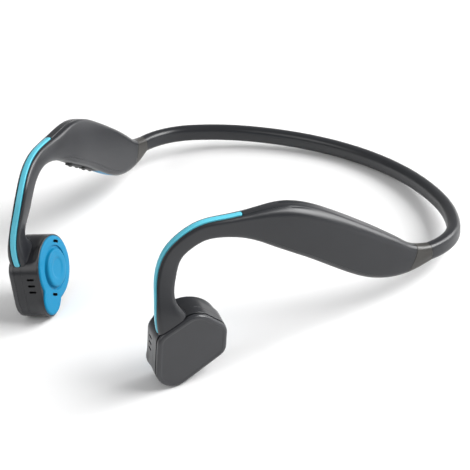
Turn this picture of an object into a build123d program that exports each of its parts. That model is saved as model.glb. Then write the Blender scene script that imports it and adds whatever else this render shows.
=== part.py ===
from build123d import *
from math import cos, radians, sin, tan
import os

# Bone conduction headphones that hook over both ears. Millimetres, +Z up, +Y towards the back of
# the neck, +X towards the wearer's left. Each side is drawn once, for the left, and mirrored in
# the plane X = 0 for the right. The last section stands the set on the floor.

# ---------------------------------------------------------------- driving dimensions
# Neckband centreline: three tangent arcs from mid-back to the collar, in one tilted plane.
BAND_TILT = 10.6          # the band's plane rises this many degrees towards the front
BACK_RADIUS = 98.0        # gentle arc behind the neck
BACK_ANGLE = 28.0
SHOULDER_RADIUS = 60.0    # where the band starts to turn forwards
SHOULDER_ANGLE = 19.0
CORNER_RADIUS = 22.0      # tight turn beside the neck
CORNER_ANGLE = 53.0
BAND_HEIGHT = 5.6
BAND_THICKNESS = 4.3
CORE_RADIUS = 0.8         # titanium memory wire
CORE_CLEARANCE = 0.1
CORE_INSERT = 5.5         # length of the memory wire beyond the sheath's end
WIRE_RADIUS = 0.4         # insulated signal wires, above and below the memory wire
WIRE_CLEARANCE = 0.1
WIRE_SPACING = 1.55
WIRE_INSERT = 6.5

# Side body: (x, y, z, height, thickness) of its cross-sections, measured from the collar's rear
# end. The height runs across the body and the thickness through it, towards the head.
COLLAR_SECTION = (-1.8, -6.0, 0.9, 8.8, 5.0)
POD_SECTIONS = [
    (-3.8, -11.9, 3.8, 13.6, 5.8),    # rear of the pod
    (-7.7, -22.3, 11.5, 15.6, 6.8),
    (-12.2, -32.7, 21.5, 15.8, 7.2),  # fattest part of the pod
    (-17.4, -42.7, 29.1, 14.0, 6.8),
    (-21.6, -51.4, 33.0, 8.8, 5.8),   # front of the pod
]
ARM_SECTIONS = [
    (-24.9, -58.4, 35.1, 6.6, 5.0),
    (-27.9, -64.1, 35.8, 6.2, 4.5),   # crown of the hook
    (-30.3, -69.0, 34.4, 6.1, 4.3),
    (-32.4, -73.4, 31.3, 6.1, 4.1),
    (-32.9, -77.2, 25.8, 6.3, 4.0),
    (-31.8, -80.4, 17.6, 6.6, 4.2),   # just above the earpiece
]
ROOT_SECTIONS = [
    (-30.8, -81.5, 12.7, 7.8, 4.4),
    (-31.2, -81.4, 7.7, 9.6, 4.2),    # inside the earpiece's rim
]
SECTION_ROUNDING = 0.42   # corner radius as a share of the thinner side of a section

# Earpiece: a rounded five-sided box in its own plane, with x to the rear, y up and z outwards.
EARPIECE_CENTRE = (-32.5, -76.0, -0.3)
EARPIECE_TOE_OUT = 27.0   # it faces this many degrees forwards of straight out
EARPIECE_LEAN = 3.7       # and this many degrees down
EARPIECE_ROLL = 12.7      # turn about its own outward direction, rear end down
EARPIECE_CORNERS = [(-10.8, 7.5), (-10.8, -17.2), (11.3, -0.8), (11.3, 8.4), (1.6, 15.4)]
EARPIECE_RADII = [5.0, 6.0, 4.5, 4.5, 6.0]
EARPIECE_WALL = 1.3
PAD_FACE = -5.65          # z of the pad's face
PAD_THICKNESS = 1.6
PAD_ROUNDING = 0.6
CUP_FRONT_WALL = 1.0
CUP_TOP = 1.0             # z of the parting between the driver cup and the rim
RIM_WEB = 1.0             # web between the driver and the outer plate
RIM_TOP = 3.9
PLATE_TOP = 5.9
PLATE_ROUNDING = 0.8
PLATE_INSET = 0.1         # of the plate's outline in the rim's
PLATE_POCKET_GAP = 0.2    # between the plate's edge and the arm's root
DRIVER_CENTRE = (0.3, 3.1)
PAD_RADIUS = 10.6
LOBE_CENTRE = (-5.0, -5.3)
LOBE_RADIUS = 5.7
DISC_RADIUS = 6.3
DISC_RISE = 0.9
DISC_ROUNDING = 0.4
GROOVE_WIDTH = 1.1
GROOVE_DEPTH = 0.5
DIMPLE_RADIUS = 3.5
DIMPLE_DEPTH = 0.3
SLIT_DISTANCE = 8.6       # pressure slits in the pad, from the driver's axis
SLIT_LENGTH = 3.2
SLIT_WIDTH = 1.0
SLIT_LEAN = 25.0
VENT_LENGTH = 2.6         # three vents through the cup's front wall
VENT_WIDTH = 0.75
VENT_PITCH = 2.15
VENT_CENTRE = (1.15, -1.9)    # (y, z) in the earpiece's plane
VENT_DEPTH = 4.0

# Driver, along the earpiece's z.
VIBRATION_PLATE_RADIUS = 6.6
VIBRATION_PLATE_THICKNESS = 0.8
VIBRATION_PLATE_CLEARANCE = 0.3
COIL_RADIUS = 4.4
COIL_WIDTH = 1.0
COIL_HEIGHT = 2.0
MAGNET_RADIUS = 2.9
MAGNET_HEIGHT = 2.0
YOKE_RADIUS = 6.2
YOKE_WALL = 1.0
YOKE_FLOOR = 1.0
YOKE_BACK = 0.6
SUSPENSION_THICKNESS = 0.3
SUSPENSION_RADIUS = 8.1
SUSPENSION_SEAT_WIDTH = 0.8
SUSPENSION_SEAT_RISE = 0.35
MICROPHONE_RADIUS = 1.2
MICROPHONE_HEIGHT = 1.0
MICROPHONE_SPOT = (-4.8, -1.4)    # (x, z) in the earpiece's plane
MICROPHONE_PORT_RADIUS = 0.5
MICROPHONE_GAP = 0.15

# Buttons and their switches.
PRESS = 0.4               # travel of every button
PRESS_GAP = 0.05          # left between a pressed button and its switch
PLATE_GAP = 0.5           # seam under the multifunction button
GUIDE_RADIUS = 1.0
GUIDE_CLEARANCE = 0.1
GUIDE_END = 1.35          # z of the guides' ends
GUIDE_SPOTS = [(-6.5, 1.0), (7.0, 4.0)]
STEM_RADIUS = 2.0
SWITCH_SIZE = 4.0
SWITCH_HEIGHT = 0.8
SWITCH_BOARD_THICKNESS = 0.6
SWITCH_BOARD_RADIUS = 4.2

# Pod: its own plane, with x to the rear, y outwards and z down.
POD_CENTRE = (-10.0, -27.8, 16.7)
POD_WALL = 1.2
POD_SPLIT = 4.2           # z of the parting plane above the pod's base
POD_FLOOR = 5.4           # z of the base's inner floor
BASE_SPAN = (-24.5, 18.5) # x range of the base
KEY_LENGTH = 9.2
KEY_WIDTH = 2.6
KEY_OFFSETS = (-0.45, -0.1)   # sideways places of volume up and volume down
KEY_TOPS = (7.7, 7.95)
KEY_ROUNDING = 0.3
KEY_FLANGE_APART = 0.2    # between the two buttons' flanges
KEY_TO_COVER = 1.3        # between volume down and the port cover
KEY_CLEARANCE = 0.2
KEY_FLANGE = 0.5
KEY_FLANGE_THICKNESS = 0.7
KEY_FLANGE_GAP = 0.05
KEY_BUMP_RADIUS = 0.9
KEY_BUMP_RISE = 0.35
KEY_BUMP_SPACING = 4.6
KEY_SWITCH_LENGTH = 4.2
KEY_SWITCH_WIDTH = 1.8
KEY_SWITCH_HEIGHT = 1.9
COVER_SPAN = (1.6, 16.0)  # x range of the port cover
COVER_WIDTH = 3.9
COVER_SEAT = 6.9          # z of the cover's inner face
COVER_CLEARANCE = 0.3
COVER_CORNER = 0.6        # corner radius of the cover's recess
COVER_HINGE_RADIUS = 0.45
COVER_OFFSET = -0.15      # sideways place of the cover and the socket
SOCKET_LENGTH = 8.94
SOCKET_WIDTH = 3.16
SOCKET_DEPTH = 7.0
SOCKET_MOUTH = 6.2        # z of the socket's mouth
SOCKET_SHELL = 0.3
SOCKET_CLEARANCE = 0.2
SOCKET_ROUNDING = 1.3
TONGUE_LENGTH = 6.7
TONGUE_THICKNESS = 0.7
TONGUE_DEPTH = 5.6
PLUG_CLEARANCE = 0.35
PLUG_DEPTH = 0.9
BOARD_SPACE = (35.4, 9.2) # length and height of the pod over the board, walls included
BOARD_THICKNESS = 0.8
BOARD_SPOT = (-3.0, -0.8) # (x, z) of its middle
BOARD_SEAT = -3.35        # y of the board's back when the wall has no thickness
CHIP_SIZE = 5.0
CHIP_THICKNESS = 0.9
CHIP_SPOT = (-9.5, -1.2)  # (x, z) in the pod's plane
BATTERY_SPACE = (29.4, 5.8, 11.0)    # the pod over the battery, walls included
BATTERY_CENTRE = (-3.0, -0.4, -0.6)

# Inlay strip and signal wire of the arm.
STRIP_WIDTH = 2.6
STRIP_DEPTH = 1.1
STRIP_PROUD = 0.1
STRIP_CLEARANCE = 0.05
ARM_WIRE_RADIUS = 0.5
ARM_WIRE_CLEARANCE = 0.1
ARM_WIRE_END = (-5.6, 7.6)    # (x, y) of its end in the earpiece's plane
ARM_WIRE_BEND = 0.45      # share of the shorter run that a bend takes up

# Collar between the pod and the neckband.
SEAM_LEAN = 36.0          # its front seam leans back from upright
SEAM_DISTANCE = 5.3       # from its rear end
FAR = 60.0                # reach of cutting tools that pass right through
NEAR = 15.0               # reach of those that open one side only

# ---------------------------------------------------------------- planes and outlines
band_normal = Vector(0, -sin(radians(BAND_TILT)), -cos(radians(BAND_TILT)))
BAND_PLANE = Plane(origin=(0, 0, 0), x_dir=(1, 0, 0), z_dir=band_normal)
with BuildLine() as flat_band:
    back_arc = JernArc((0, 0), (1, 0), BACK_RADIUS, BACK_ANGLE)
    shoulder_arc = JernArc(back_arc @ 1, back_arc % 1, SHOULDER_RADIUS, SHOULDER_ANGLE)
    corner_arc = JernArc(shoulder_arc @ 1, shoulder_arc % 1, CORNER_RADIUS, CORNER_ANGLE)
half_band = BAND_PLANE.from_local_coords(flat_band.line)
collar_end = half_band @ 1
forwards = half_band % 1
mid_back = Plane(origin=half_band @ 0, x_dir=band_normal, z_dir=(1, 0, 0))


def from_collar(place):
    """A point given from the collar's rear end."""
    return collar_end + Vector(*place[:3])


def outward_of(along):
    """The level direction away from the head, square to a direction that runs to the rear."""
    return along.cross(Vector(0, 0, 1)).normalized()


def crossing(here, along, outward):
    """Plane across the side body: x away from the head, y down or to the rear."""
    side = (outward - along * outward.dot(along)).normalized()
    return Plane(origin=here, x_dir=side, z_dir=along)


toe, lean, roll = radians(EARPIECE_TOE_OUT), radians(EARPIECE_LEAN), radians(EARPIECE_ROLL)
earpiece_out = Vector(cos(toe) * cos(lean), -sin(toe) * cos(lean), -sin(lean))
earpiece_level = Vector(sin(toe), cos(toe), 0)
earpiece_rise = earpiece_out.cross(earpiece_level)
EARPIECE = Plane(
    origin=from_collar(EARPIECE_CENTRE),
    x_dir=earpiece_level * cos(roll) - earpiece_rise * sin(roll),
    z_dir=earpiece_out,
)

pod_along = (from_collar(POD_SECTIONS[0]) - from_collar(POD_SECTIONS[3])).normalized()
POD = Plane(
    origin=from_collar(POD_CENTRE),
    x_dir=pod_along,
    z_dir=pod_along.cross(outward_of(pod_along)),
)

# Cross-sections in order from the arm's root to the collar's rear end.
end_section = (0, 0, 0, BAND_HEIGHT, BAND_THICKNESS)
rear_half = [end_section, COLLAR_SECTION] + POD_SECTIONS
sections = (rear_half + ARM_SECTIONS + ROOT_SECTIONS)[::-1]
centres = [from_collar(section) for section in sections]
crossings = []
for number, section in enumerate(sections):
    if section is end_section:
        way = -forwards
    else:
        way = (centres[number + 1] - centres[max(number - 1, 0)]).normalized()
    outward = outward_of(way)
    if section in ARM_SECTIONS + ROOT_SECTIONS:
        outward = EARPIECE.z_dir
    crossings.append(crossing(centres[number], way, outward))
first_pod = len(ROOT_SECTIONS + ARM_SECTIONS)


def pieces_between(first, last, inset):
    """The side body's sections from first to last, drawn smaller by the inset all round."""
    for plane, section in zip(crossings[first:last], sections[first:last]):
        height, thickness = section[3] - 2 * inset, section[4] - 2 * inset
        with BuildSketch(plane) as outline:
            RectangleRounded(thickness, height, SECTION_ROUNDING * min(height, thickness))
        yield outline.sketch


def earpiece_outline(z, inset):
    """The earpiece's outline at height z in its own plane, drawn smaller by the inset."""
    with BuildSketch(EARPIECE.offset(z)) as outline:
        with BuildLine():
            FilletPolyline(*EARPIECE_CORNERS, radius=EARPIECE_RADII, close=True)
        make_face()
        if inset:
            offset(amount=-inset, kind=Kind.INTERSECTION)
    return outline.sketch


def tube(path, radius, start):
    """A round bar along a path."""
    with BuildPart() as bar:
        with BuildSketch(Plane(origin=path @ start, z_dir=path % start)):
            Circle(radius)
        sweep(path=path)
    return bar.part


# ---------------------------------------------------------------- neckband
# Flat oval silicone sheath with three lumens, swept along the half band and mirrored.
with BuildPart() as neckband_sheath:
    with BuildSketch(mid_back):
        RectangleRounded(BAND_HEIGHT, BAND_THICKNESS, SECTION_ROUNDING * BAND_THICKNESS)
        Circle(CORE_RADIUS + CORE_CLEARANCE, mode=Mode.SUBTRACT)
        with Locations((-WIRE_SPACING, 0), (WIRE_SPACING, 0)):
            Circle(WIRE_RADIUS + WIRE_CLEARANCE, mode=Mode.SUBTRACT)
    sweep(path=half_band)
    mirror(about=Plane.YZ)

# Titanium memory wire: it ends inside the collars.
with BuildPart() as memory_wire:
    with BuildSketch(mid_back):
        Circle(CORE_RADIUS)
    sweep(path=half_band)
    with BuildSketch(Plane(origin=collar_end, z_dir=forwards)):
        Circle(CORE_RADIUS)
    extrude(amount=CORE_INSERT)
    mirror(about=Plane.YZ)

# Two insulated signal wires that join the battery to the control board.
COLLAR_BACK = Plane(origin=collar_end, x_dir=band_normal, z_dir=forwards)
with BuildPart() as signal_wires:
    for side in (-WIRE_SPACING, WIRE_SPACING):
        with BuildSketch(mid_back):
            with Locations((side, 0)):
                Circle(WIRE_RADIUS)
        sweep(path=half_band)
        with BuildSketch(COLLAR_BACK):
            with Locations((side, 0)):
                Circle(WIRE_RADIUS)
        extrude(amount=WIRE_INSERT)
    mirror(about=Plane.YZ)

# ---------------------------------------------------------------- side body and its cutting tools
with BuildPart() as side_body:
    loft(list(pieces_between(0, len(sections), 0)))

with BuildPart() as pod_cavity:
    loft(list(pieces_between(first_pod, len(sections) - 1, POD_WALL)))
    split(bisect_by=POD.offset(POD_FLOOR), keep=Keep.BOTTOM)

seam_rise = Vector(0, sin(radians(SEAM_LEAN)), cos(radians(SEAM_LEAN)))
SEAM = Plane(
    origin=collar_end + forwards * SEAM_DISTANCE,
    x_dir=(1, 0, 0),
    z_dir=seam_rise.cross(outward_of(-forwards)),
)

with BuildPart() as lumens:
    with BuildSketch(COLLAR_BACK):
        Circle(CORE_RADIUS + CORE_CLEARANCE)
        with Locations((-WIRE_SPACING, 0), (WIRE_SPACING, 0)):
            Circle(WIRE_RADIUS + WIRE_CLEARANCE)
    extrude(amount=CORE_INSERT + WIRE_INSERT)

base_middle, base_length = sum(BASE_SPAN) / 2, BASE_SPAN[1] - BASE_SPAN[0]
with BuildPart() as base_space:
    with BuildSketch(POD.offset(POD_SPLIT)):
        with Locations((base_middle, 0)):
            Rectangle(base_length, FAR)
    extrude(amount=FAR)

# The arm's wire: straight runs joined by arcs as large as the runs allow.
wire_end = EARPIECE.from_local_coords(Vector(*ARM_WIRE_END, (CUP_TOP + RIM_WEB + RIM_TOP) / 2))
wire_points = [wire_end] + centres[1:first_pod + 2]
wire_radii = []
for before, here, after in zip(wire_points, wire_points[1:], wire_points[2:]):
    turn = radians((here - before).get_angle(after - here))
    run = min((here - before).length, (after - here).length)
    wire_radii.append(ARM_WIRE_BEND * run / tan(turn / 2))
with BuildLine() as arm_route:
    FilletPolyline(*wire_points, radius=wire_radii)
arm_channel = tube(arm_route.line, ARM_WIRE_RADIUS + ARM_WIRE_CLEARANCE, 0)


def strip_between(clearance):
    """The inlay along the front of the arm, or its groove with a clearance."""
    for plane, section in zip(crossings[1:first_pod], sections[1:first_pod]):
        middle = -section[3] / 2 - STRIP_PROUD + STRIP_DEPTH / 2
        with BuildSketch(plane) as outline:
            with Locations((0, middle)):
                Rectangle(STRIP_WIDTH + 2 * clearance, STRIP_DEPTH + 2 * clearance)
        yield outline.sketch


# ---------------------------------------------------------------- ear hook
# Pod shell, arm and earpiece rim in one moulding, open below, behind and on the outer face.
with BuildPart() as ear_hook:
    add(side_body.part)
    add(extrude(earpiece_outline(CUP_TOP, 0), RIM_TOP - CUP_TOP, mode=Mode.PRIVATE))
    split(bisect_by=SEAM, keep=Keep.BOTTOM)
    add(
        extrude(earpiece_outline(CUP_TOP, 0), -NEAR, mode=Mode.PRIVATE),
        mode=Mode.SUBTRACT,
    )
    add(
        extrude(earpiece_outline(RIM_TOP, -PLATE_POCKET_GAP), NEAR, mode=Mode.PRIVATE),
        mode=Mode.SUBTRACT,
    )
    add(
        extrude(earpiece_outline(CUP_TOP + RIM_WEB, EARPIECE_WALL), NEAR, mode=Mode.PRIVATE),
        mode=Mode.SUBTRACT,
    )
    add(pod_cavity.part, mode=Mode.SUBTRACT)
    add(base_space.part, mode=Mode.SUBTRACT)
    add(lumens.part, mode=Mode.SUBTRACT)
    add(arm_channel, mode=Mode.SUBTRACT)
    add(loft(list(strip_between(STRIP_CLEARANCE)), mode=Mode.PRIVATE), mode=Mode.SUBTRACT)
    with Locations(EARPIECE):
        with Locations(*[(x, y, CUP_TOP) for x, y in GUIDE_SPOTS]):
            Cylinder(GUIDE_RADIUS + GUIDE_CLEARANCE, 4 * RIM_WEB, mode=Mode.SUBTRACT)

with BuildPart() as accent_strip:
    loft(list(strip_between(0)))

with BuildPart() as arm_wire:
    add(tube(arm_route.line, ARM_WIRE_RADIUS, 0))

with BuildPart() as collar:
    add(side_body.part)
    split(bisect_by=SEAM, keep=Keep.TOP)
    add(lumens.part, mode=Mode.SUBTRACT)

# ---------------------------------------------------------------- pod base
with BuildPart() as plain_base:
    add(side_body.part)
    add(base_space.part, mode=Mode.INTERSECT)
    add(pod_cavity.part, mode=Mode.SUBTRACT)

cover_middle = sum(COVER_SPAN) / 2
cover_length = COVER_SPAN[1] - COVER_SPAN[0]
volume_down_x = COVER_SPAN[0] - KEY_TO_COVER - KEY_LENGTH / 2
volume_up_x = volume_down_x - KEY_LENGTH - 2 * KEY_FLANGE - KEY_FLANGE_APART
key_spots = list(zip((volume_up_x, volume_down_x), KEY_OFFSETS))
flange_back = POD_FLOOR - KEY_FLANGE_GAP - KEY_FLANGE_THICKNESS
with BuildPart() as control_base:
    add(plain_base.part)
    for x, y in key_spots:
        with BuildSketch(POD.offset(POD_SPLIT)):
            with Locations((x, y)):
                SlotOverall(KEY_LENGTH + 2 * KEY_CLEARANCE, KEY_WIDTH + 2 * KEY_CLEARANCE)
        extrude(amount=NEAR, mode=Mode.SUBTRACT)
        with BuildSketch(POD.offset(POD_SPLIT)):
            with Locations((x, y)):
                SlotOverall(
                    KEY_LENGTH + 2 * KEY_FLANGE + 2 * KEY_CLEARANCE,
                    KEY_WIDTH + 2 * KEY_FLANGE + 2 * KEY_CLEARANCE,
                )
        extrude(amount=POD_FLOOR - POD_SPLIT, mode=Mode.SUBTRACT)
    with BuildSketch(POD.offset(COVER_SEAT)):
        with Locations((cover_middle, COVER_OFFSET)):
            RectangleRounded(
                cover_length + 2 * COVER_CLEARANCE,
                COVER_WIDTH + 2 * COVER_CLEARANCE,
                COVER_CORNER,
            )
    extrude(amount=NEAR, mode=Mode.SUBTRACT)
    with BuildSketch(POD.offset(POD_SPLIT)):
        with Locations((cover_middle, COVER_OFFSET)):
            RectangleRounded(
                SOCKET_LENGTH + 2 * SOCKET_CLEARANCE,
                SOCKET_WIDTH + 2 * SOCKET_CLEARANCE,
                SOCKET_ROUNDING,
            )
    extrude(amount=NEAR, mode=Mode.SUBTRACT)

# ---------------------------------------------------------------- pod contents and controls
with BuildPart() as battery:
    with Locations(POD):
        with Locations(BATTERY_CENTRE):
            Box(*[space - 2 * POD_WALL for space in BATTERY_SPACE])

board_length, board_height = [space - 2 * POD_WALL for space in BOARD_SPACE]
board_face = BOARD_SEAT + POD_WALL + BOARD_THICKNESS
socket_back = SOCKET_MOUTH - SOCKET_DEPTH
with BuildPart() as control_board:
    with Locations(POD):
        with Locations((BOARD_SPOT[0], board_face - BOARD_THICKNESS / 2, BOARD_SPOT[1])):
            Box(board_length, BOARD_THICKNESS, board_height)
        with Locations((cover_middle, 0, socket_back + FAR / 2 - SOCKET_CLEARANCE)):
            Box(SOCKET_LENGTH + 2 * SOCKET_CLEARANCE, FAR, FAR, mode=Mode.SUBTRACT)

with BuildPart() as radio_chip:
    with Locations(POD):
        with Locations((CHIP_SPOT[0], board_face + CHIP_THICKNESS / 2, CHIP_SPOT[1])):
            Box(CHIP_SIZE, CHIP_THICKNESS, CHIP_SIZE)

with BuildPart() as volume_switches:
    with Locations(POD):
        for x, y in key_spots:
            top = flange_back - PRESS - PRESS_GAP
            with Locations(
                (x, board_face + KEY_SWITCH_WIDTH / 2, top - KEY_SWITCH_HEIGHT / 2)
            ):
                Box(KEY_SWITCH_LENGTH, KEY_SWITCH_WIDTH, KEY_SWITCH_HEIGHT)

with BuildPart() as charging_socket:
    with BuildSketch(POD.offset(socket_back)):
        with Locations((cover_middle, COVER_OFFSET)):
            RectangleRounded(SOCKET_LENGTH, SOCKET_WIDTH, SOCKET_ROUNDING)
    extrude(amount=SOCKET_DEPTH)
    with BuildSketch(POD.offset(socket_back + SOCKET_SHELL)):
        with Locations((cover_middle, COVER_OFFSET)):
            RectangleRounded(
                SOCKET_LENGTH - 2 * SOCKET_SHELL,
                SOCKET_WIDTH - 2 * SOCKET_SHELL,
                SOCKET_ROUNDING - SOCKET_SHELL,
            )
    extrude(amount=SOCKET_DEPTH, mode=Mode.SUBTRACT)
    with Locations(POD):
        with Locations((cover_middle, COVER_OFFSET, socket_back + TONGUE_DEPTH / 2)):
            Box(TONGUE_LENGTH, TONGUE_THICKNESS, TONGUE_DEPTH)

volume_keys = []
for (x, y), top in zip(key_spots, KEY_TOPS):
    with BuildPart() as volume_key:
        with BuildSketch(POD.offset(flange_back)):
            with Locations((x, y)):
                SlotOverall(KEY_LENGTH + 2 * KEY_FLANGE, KEY_WIDTH + 2 * KEY_FLANGE)
        extrude(amount=KEY_FLANGE_THICKNESS)
        with BuildSketch(POD.offset(flange_back)):
            with Locations((x, y)):
                SlotOverall(KEY_LENGTH, KEY_WIDTH)
        extrude(amount=top - flange_back)
        fillet(volume_key.faces().sort_by(Axis(POD.origin, POD.z_dir))[-1].edges(), KEY_ROUNDING)
        for shift in (-KEY_BUMP_SPACING / 2, KEY_BUMP_SPACING / 2):
            with Locations(POD):
                with Locations((x + shift, y, top - KEY_BUMP_RADIUS + KEY_BUMP_RISE)):
                    Sphere(KEY_BUMP_RADIUS)
    volume_keys.append(volume_key)

hinge_spot = (COVER_SPAN[0] + COVER_HINGE_RADIUS, COVER_SEAT + COVER_HINGE_RADIUS)
with BuildPart() as port_cover:
    add(side_body.part)
    with BuildSketch(POD.offset(COVER_SEAT)):
        with Locations(((hinge_spot[0] + COVER_SPAN[1]) / 2, COVER_OFFSET)):
            Rectangle(COVER_SPAN[1] - hinge_spot[0], COVER_WIDTH)
    extrude(amount=NEAR, mode=Mode.INTERSECT)
    with Locations(POD):
        with Locations((hinge_spot[0], COVER_OFFSET, hinge_spot[1])):
            Cylinder(COVER_HINGE_RADIUS, COVER_WIDTH, rotation=(90, 0, 0))
    with BuildSketch(POD.offset(COVER_SEAT)):
        with Locations((cover_middle, COVER_OFFSET)):
            RectangleRounded(
                SOCKET_LENGTH - 2 * SOCKET_SHELL - 2 * PLUG_CLEARANCE,
                SOCKET_WIDTH - 2 * SOCKET_SHELL - 2 * PLUG_CLEARANCE,
                SOCKET_ROUNDING - SOCKET_SHELL - PLUG_CLEARANCE,
            )
    extrude(amount=-PLUG_DEPTH)

# ---------------------------------------------------------------- earpiece shells
cup_front = PAD_FACE + PAD_THICKNESS
cup_inside = cup_front + CUP_FRONT_WALL
with BuildPart() as driver_cup:
    add(extrude(earpiece_outline(cup_front, 0), CUP_TOP - cup_front, mode=Mode.PRIVATE))
    add(
        extrude(
            earpiece_outline(cup_inside, EARPIECE_WALL), CUP_TOP - cup_inside, mode=Mode.PRIVATE
        ),
        mode=Mode.SUBTRACT,
    )
    with BuildSketch(EARPIECE.offset(cup_inside)):
        with Locations(DRIVER_CENTRE):
            Circle(SUSPENSION_RADIUS)
            Circle(SUSPENSION_RADIUS - SUSPENSION_SEAT_WIDTH, mode=Mode.SUBTRACT)
    extrude(amount=SUSPENSION_SEAT_RISE)
    with BuildSketch(EARPIECE.offset(cup_front)):
        with Locations(DRIVER_CENTRE):
            Circle(VIBRATION_PLATE_RADIUS + VIBRATION_PLATE_CLEARANCE)
    extrude(amount=CUP_FRONT_WALL, mode=Mode.SUBTRACT)
    with Locations(EARPIECE):
        for step in (-1, 0, 1):
            spot = (EARPIECE_CORNERS[0][0], VENT_CENTRE[0] + step * VENT_PITCH, VENT_CENTRE[1])
            with Locations(spot):
                Box(VENT_DEPTH, VENT_WIDTH, VENT_LENGTH, mode=Mode.SUBTRACT)

low_wall = EARPIECE.to_local_coords(earpiece_outline(0, 0)).bounding_box().min.Y
with BuildPart() as microphone_cup:
    add(driver_cup.part)
    with Locations(EARPIECE):
        with Locations((MICROPHONE_SPOT[0], low_wall, MICROPHONE_SPOT[1])):
            Cylinder(
                MICROPHONE_PORT_RADIUS, 3 * EARPIECE_WALL, rotation=(90, 0, 0),
                mode=Mode.SUBTRACT,
            )

with BuildPart() as face_pad:
    with BuildSketch(EARPIECE.offset(PAD_FACE)):
        with Locations(DRIVER_CENTRE):
            Circle(PAD_RADIUS)
        with Locations(LOBE_CENTRE):
            Circle(LOBE_RADIUS)
    extrude(amount=PAD_THICKNESS)
    fillet(face_pad.faces().sort_by(Axis(EARPIECE.origin, EARPIECE.z_dir))[0].edges(), PAD_ROUNDING)
    with BuildSketch(EARPIECE.offset(PAD_FACE)):
        with Locations(DRIVER_CENTRE):
            Circle(DISC_RADIUS + GROOVE_WIDTH)
            Circle(DISC_RADIUS, mode=Mode.SUBTRACT)
    extrude(amount=GROOVE_DEPTH, mode=Mode.SUBTRACT)
    with BuildSketch(EARPIECE.offset(PAD_FACE)):
        with Locations(DRIVER_CENTRE):
            Circle(DISC_RADIUS)
    extrude(amount=-DISC_RISE)
    fillet(
        face_pad.faces().sort_by(Axis(EARPIECE.origin, EARPIECE.z_dir))[0].edges(), DISC_ROUNDING
    )
    with BuildSketch(EARPIECE.offset(PAD_FACE - DISC_RISE)):
        with Locations(DRIVER_CENTRE):
            Circle(DIMPLE_RADIUS)
    extrude(amount=DIMPLE_DEPTH, mode=Mode.SUBTRACT)
    with BuildSketch(EARPIECE.offset(PAD_FACE)):
        with Locations(Location((*DRIVER_CENTRE, 0), (0, 0, -SLIT_LEAN))):
            with Locations((0, SLIT_DISTANCE), (0, -SLIT_DISTANCE)):
                SlotOverall(SLIT_LENGTH, SLIT_WIDTH)
    extrude(amount=PAD_THICKNESS, mode=Mode.SUBTRACT)


def outer_plate(underside):
    """The earpiece's outer plate on its two guide posts."""
    with BuildPart() as plate:
        outline = earpiece_outline(underside, PLATE_INSET)
        add(extrude(outline, PLATE_TOP - underside, mode=Mode.PRIVATE))
        rim = plate.faces().sort_by(Axis(EARPIECE.origin, EARPIECE.z_dir))[-1].edges()
        fillet(rim, PLATE_ROUNDING)
        with BuildSketch(EARPIECE.offset(underside)):
            with Locations(*GUIDE_SPOTS):
                Circle(GUIDE_RADIUS)
        extrude(amount=GUIDE_END - underside)
    return plate


web_top = CUP_TOP + RIM_WEB
switch_top = web_top + SWITCH_BOARD_THICKNESS + SWITCH_HEIGHT
button_underside = RIM_TOP + PLATE_GAP
fixed_plate = outer_plate(RIM_TOP)
with BuildPart() as multifunction_button:
    add(outer_plate(button_underside).part)
    with BuildSketch(EARPIECE.offset(button_underside)):
        with Locations(DRIVER_CENTRE):
            Circle(STEM_RADIUS)
    extrude(amount=switch_top + PRESS + PRESS_GAP - button_underside)

with BuildPart() as button_board:
    with BuildSketch(EARPIECE.offset(web_top)):
        with Locations(DRIVER_CENTRE):
            Circle(SWITCH_BOARD_RADIUS)
    extrude(amount=SWITCH_BOARD_THICKNESS)

with BuildPart() as button_switch:
    with BuildSketch(EARPIECE.offset(web_top + SWITCH_BOARD_THICKNESS)):
        with Locations(DRIVER_CENTRE):
            Rectangle(SWITCH_SIZE, SWITCH_SIZE)
    extrude(amount=SWITCH_HEIGHT)

# ---------------------------------------------------------------- driver
plate_back = cup_front + VIBRATION_PLATE_THICKNESS
suspension_front = cup_inside + SUSPENSION_SEAT_RISE
yoke_front = suspension_front + SUSPENSION_THICKNESS
yoke_bore = YOKE_RADIUS - YOKE_WALL


def ring(z, outer, inner, height):
    """A round piece on the driver's axis, hollow where inner isn't 0."""
    with BuildPart() as round_piece:
        with BuildSketch(EARPIECE.offset(z)):
            with Locations(DRIVER_CENTRE):
                Circle(outer)
                if inner:
                    Circle(inner, mode=Mode.SUBTRACT)
        extrude(amount=height)
    return round_piece


vibration_plate = ring(cup_front, VIBRATION_PLATE_RADIUS, 0, VIBRATION_PLATE_THICKNESS)
voice_coil = ring(plate_back, COIL_RADIUS, COIL_RADIUS - COIL_WIDTH, COIL_HEIGHT)
suspension = ring(suspension_front, SUSPENSION_RADIUS, yoke_bore, SUSPENSION_THICKNESS)
magnet_back = YOKE_BACK - YOKE_FLOOR
magnet = ring(magnet_back - MAGNET_HEIGHT, MAGNET_RADIUS, 0, MAGNET_HEIGHT)
with BuildPart() as driver_yoke:
    add(ring(magnet_back, YOKE_RADIUS, 0, YOKE_FLOOR).part)
    add(ring(yoke_front, YOKE_RADIUS, yoke_bore, magnet_back - yoke_front).part)

with BuildPart() as microphone:
    with Locations(EARPIECE):
        microphone_low = low_wall + EARPIECE_WALL + MICROPHONE_GAP + MICROPHONE_HEIGHT / 2
        with Locations((MICROPHONE_SPOT[0], microphone_low, MICROPHONE_SPOT[1])):
            Cylinder(MICROPHONE_RADIUS, MICROPHONE_HEIGHT, rotation=(90, 0, 0))

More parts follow.
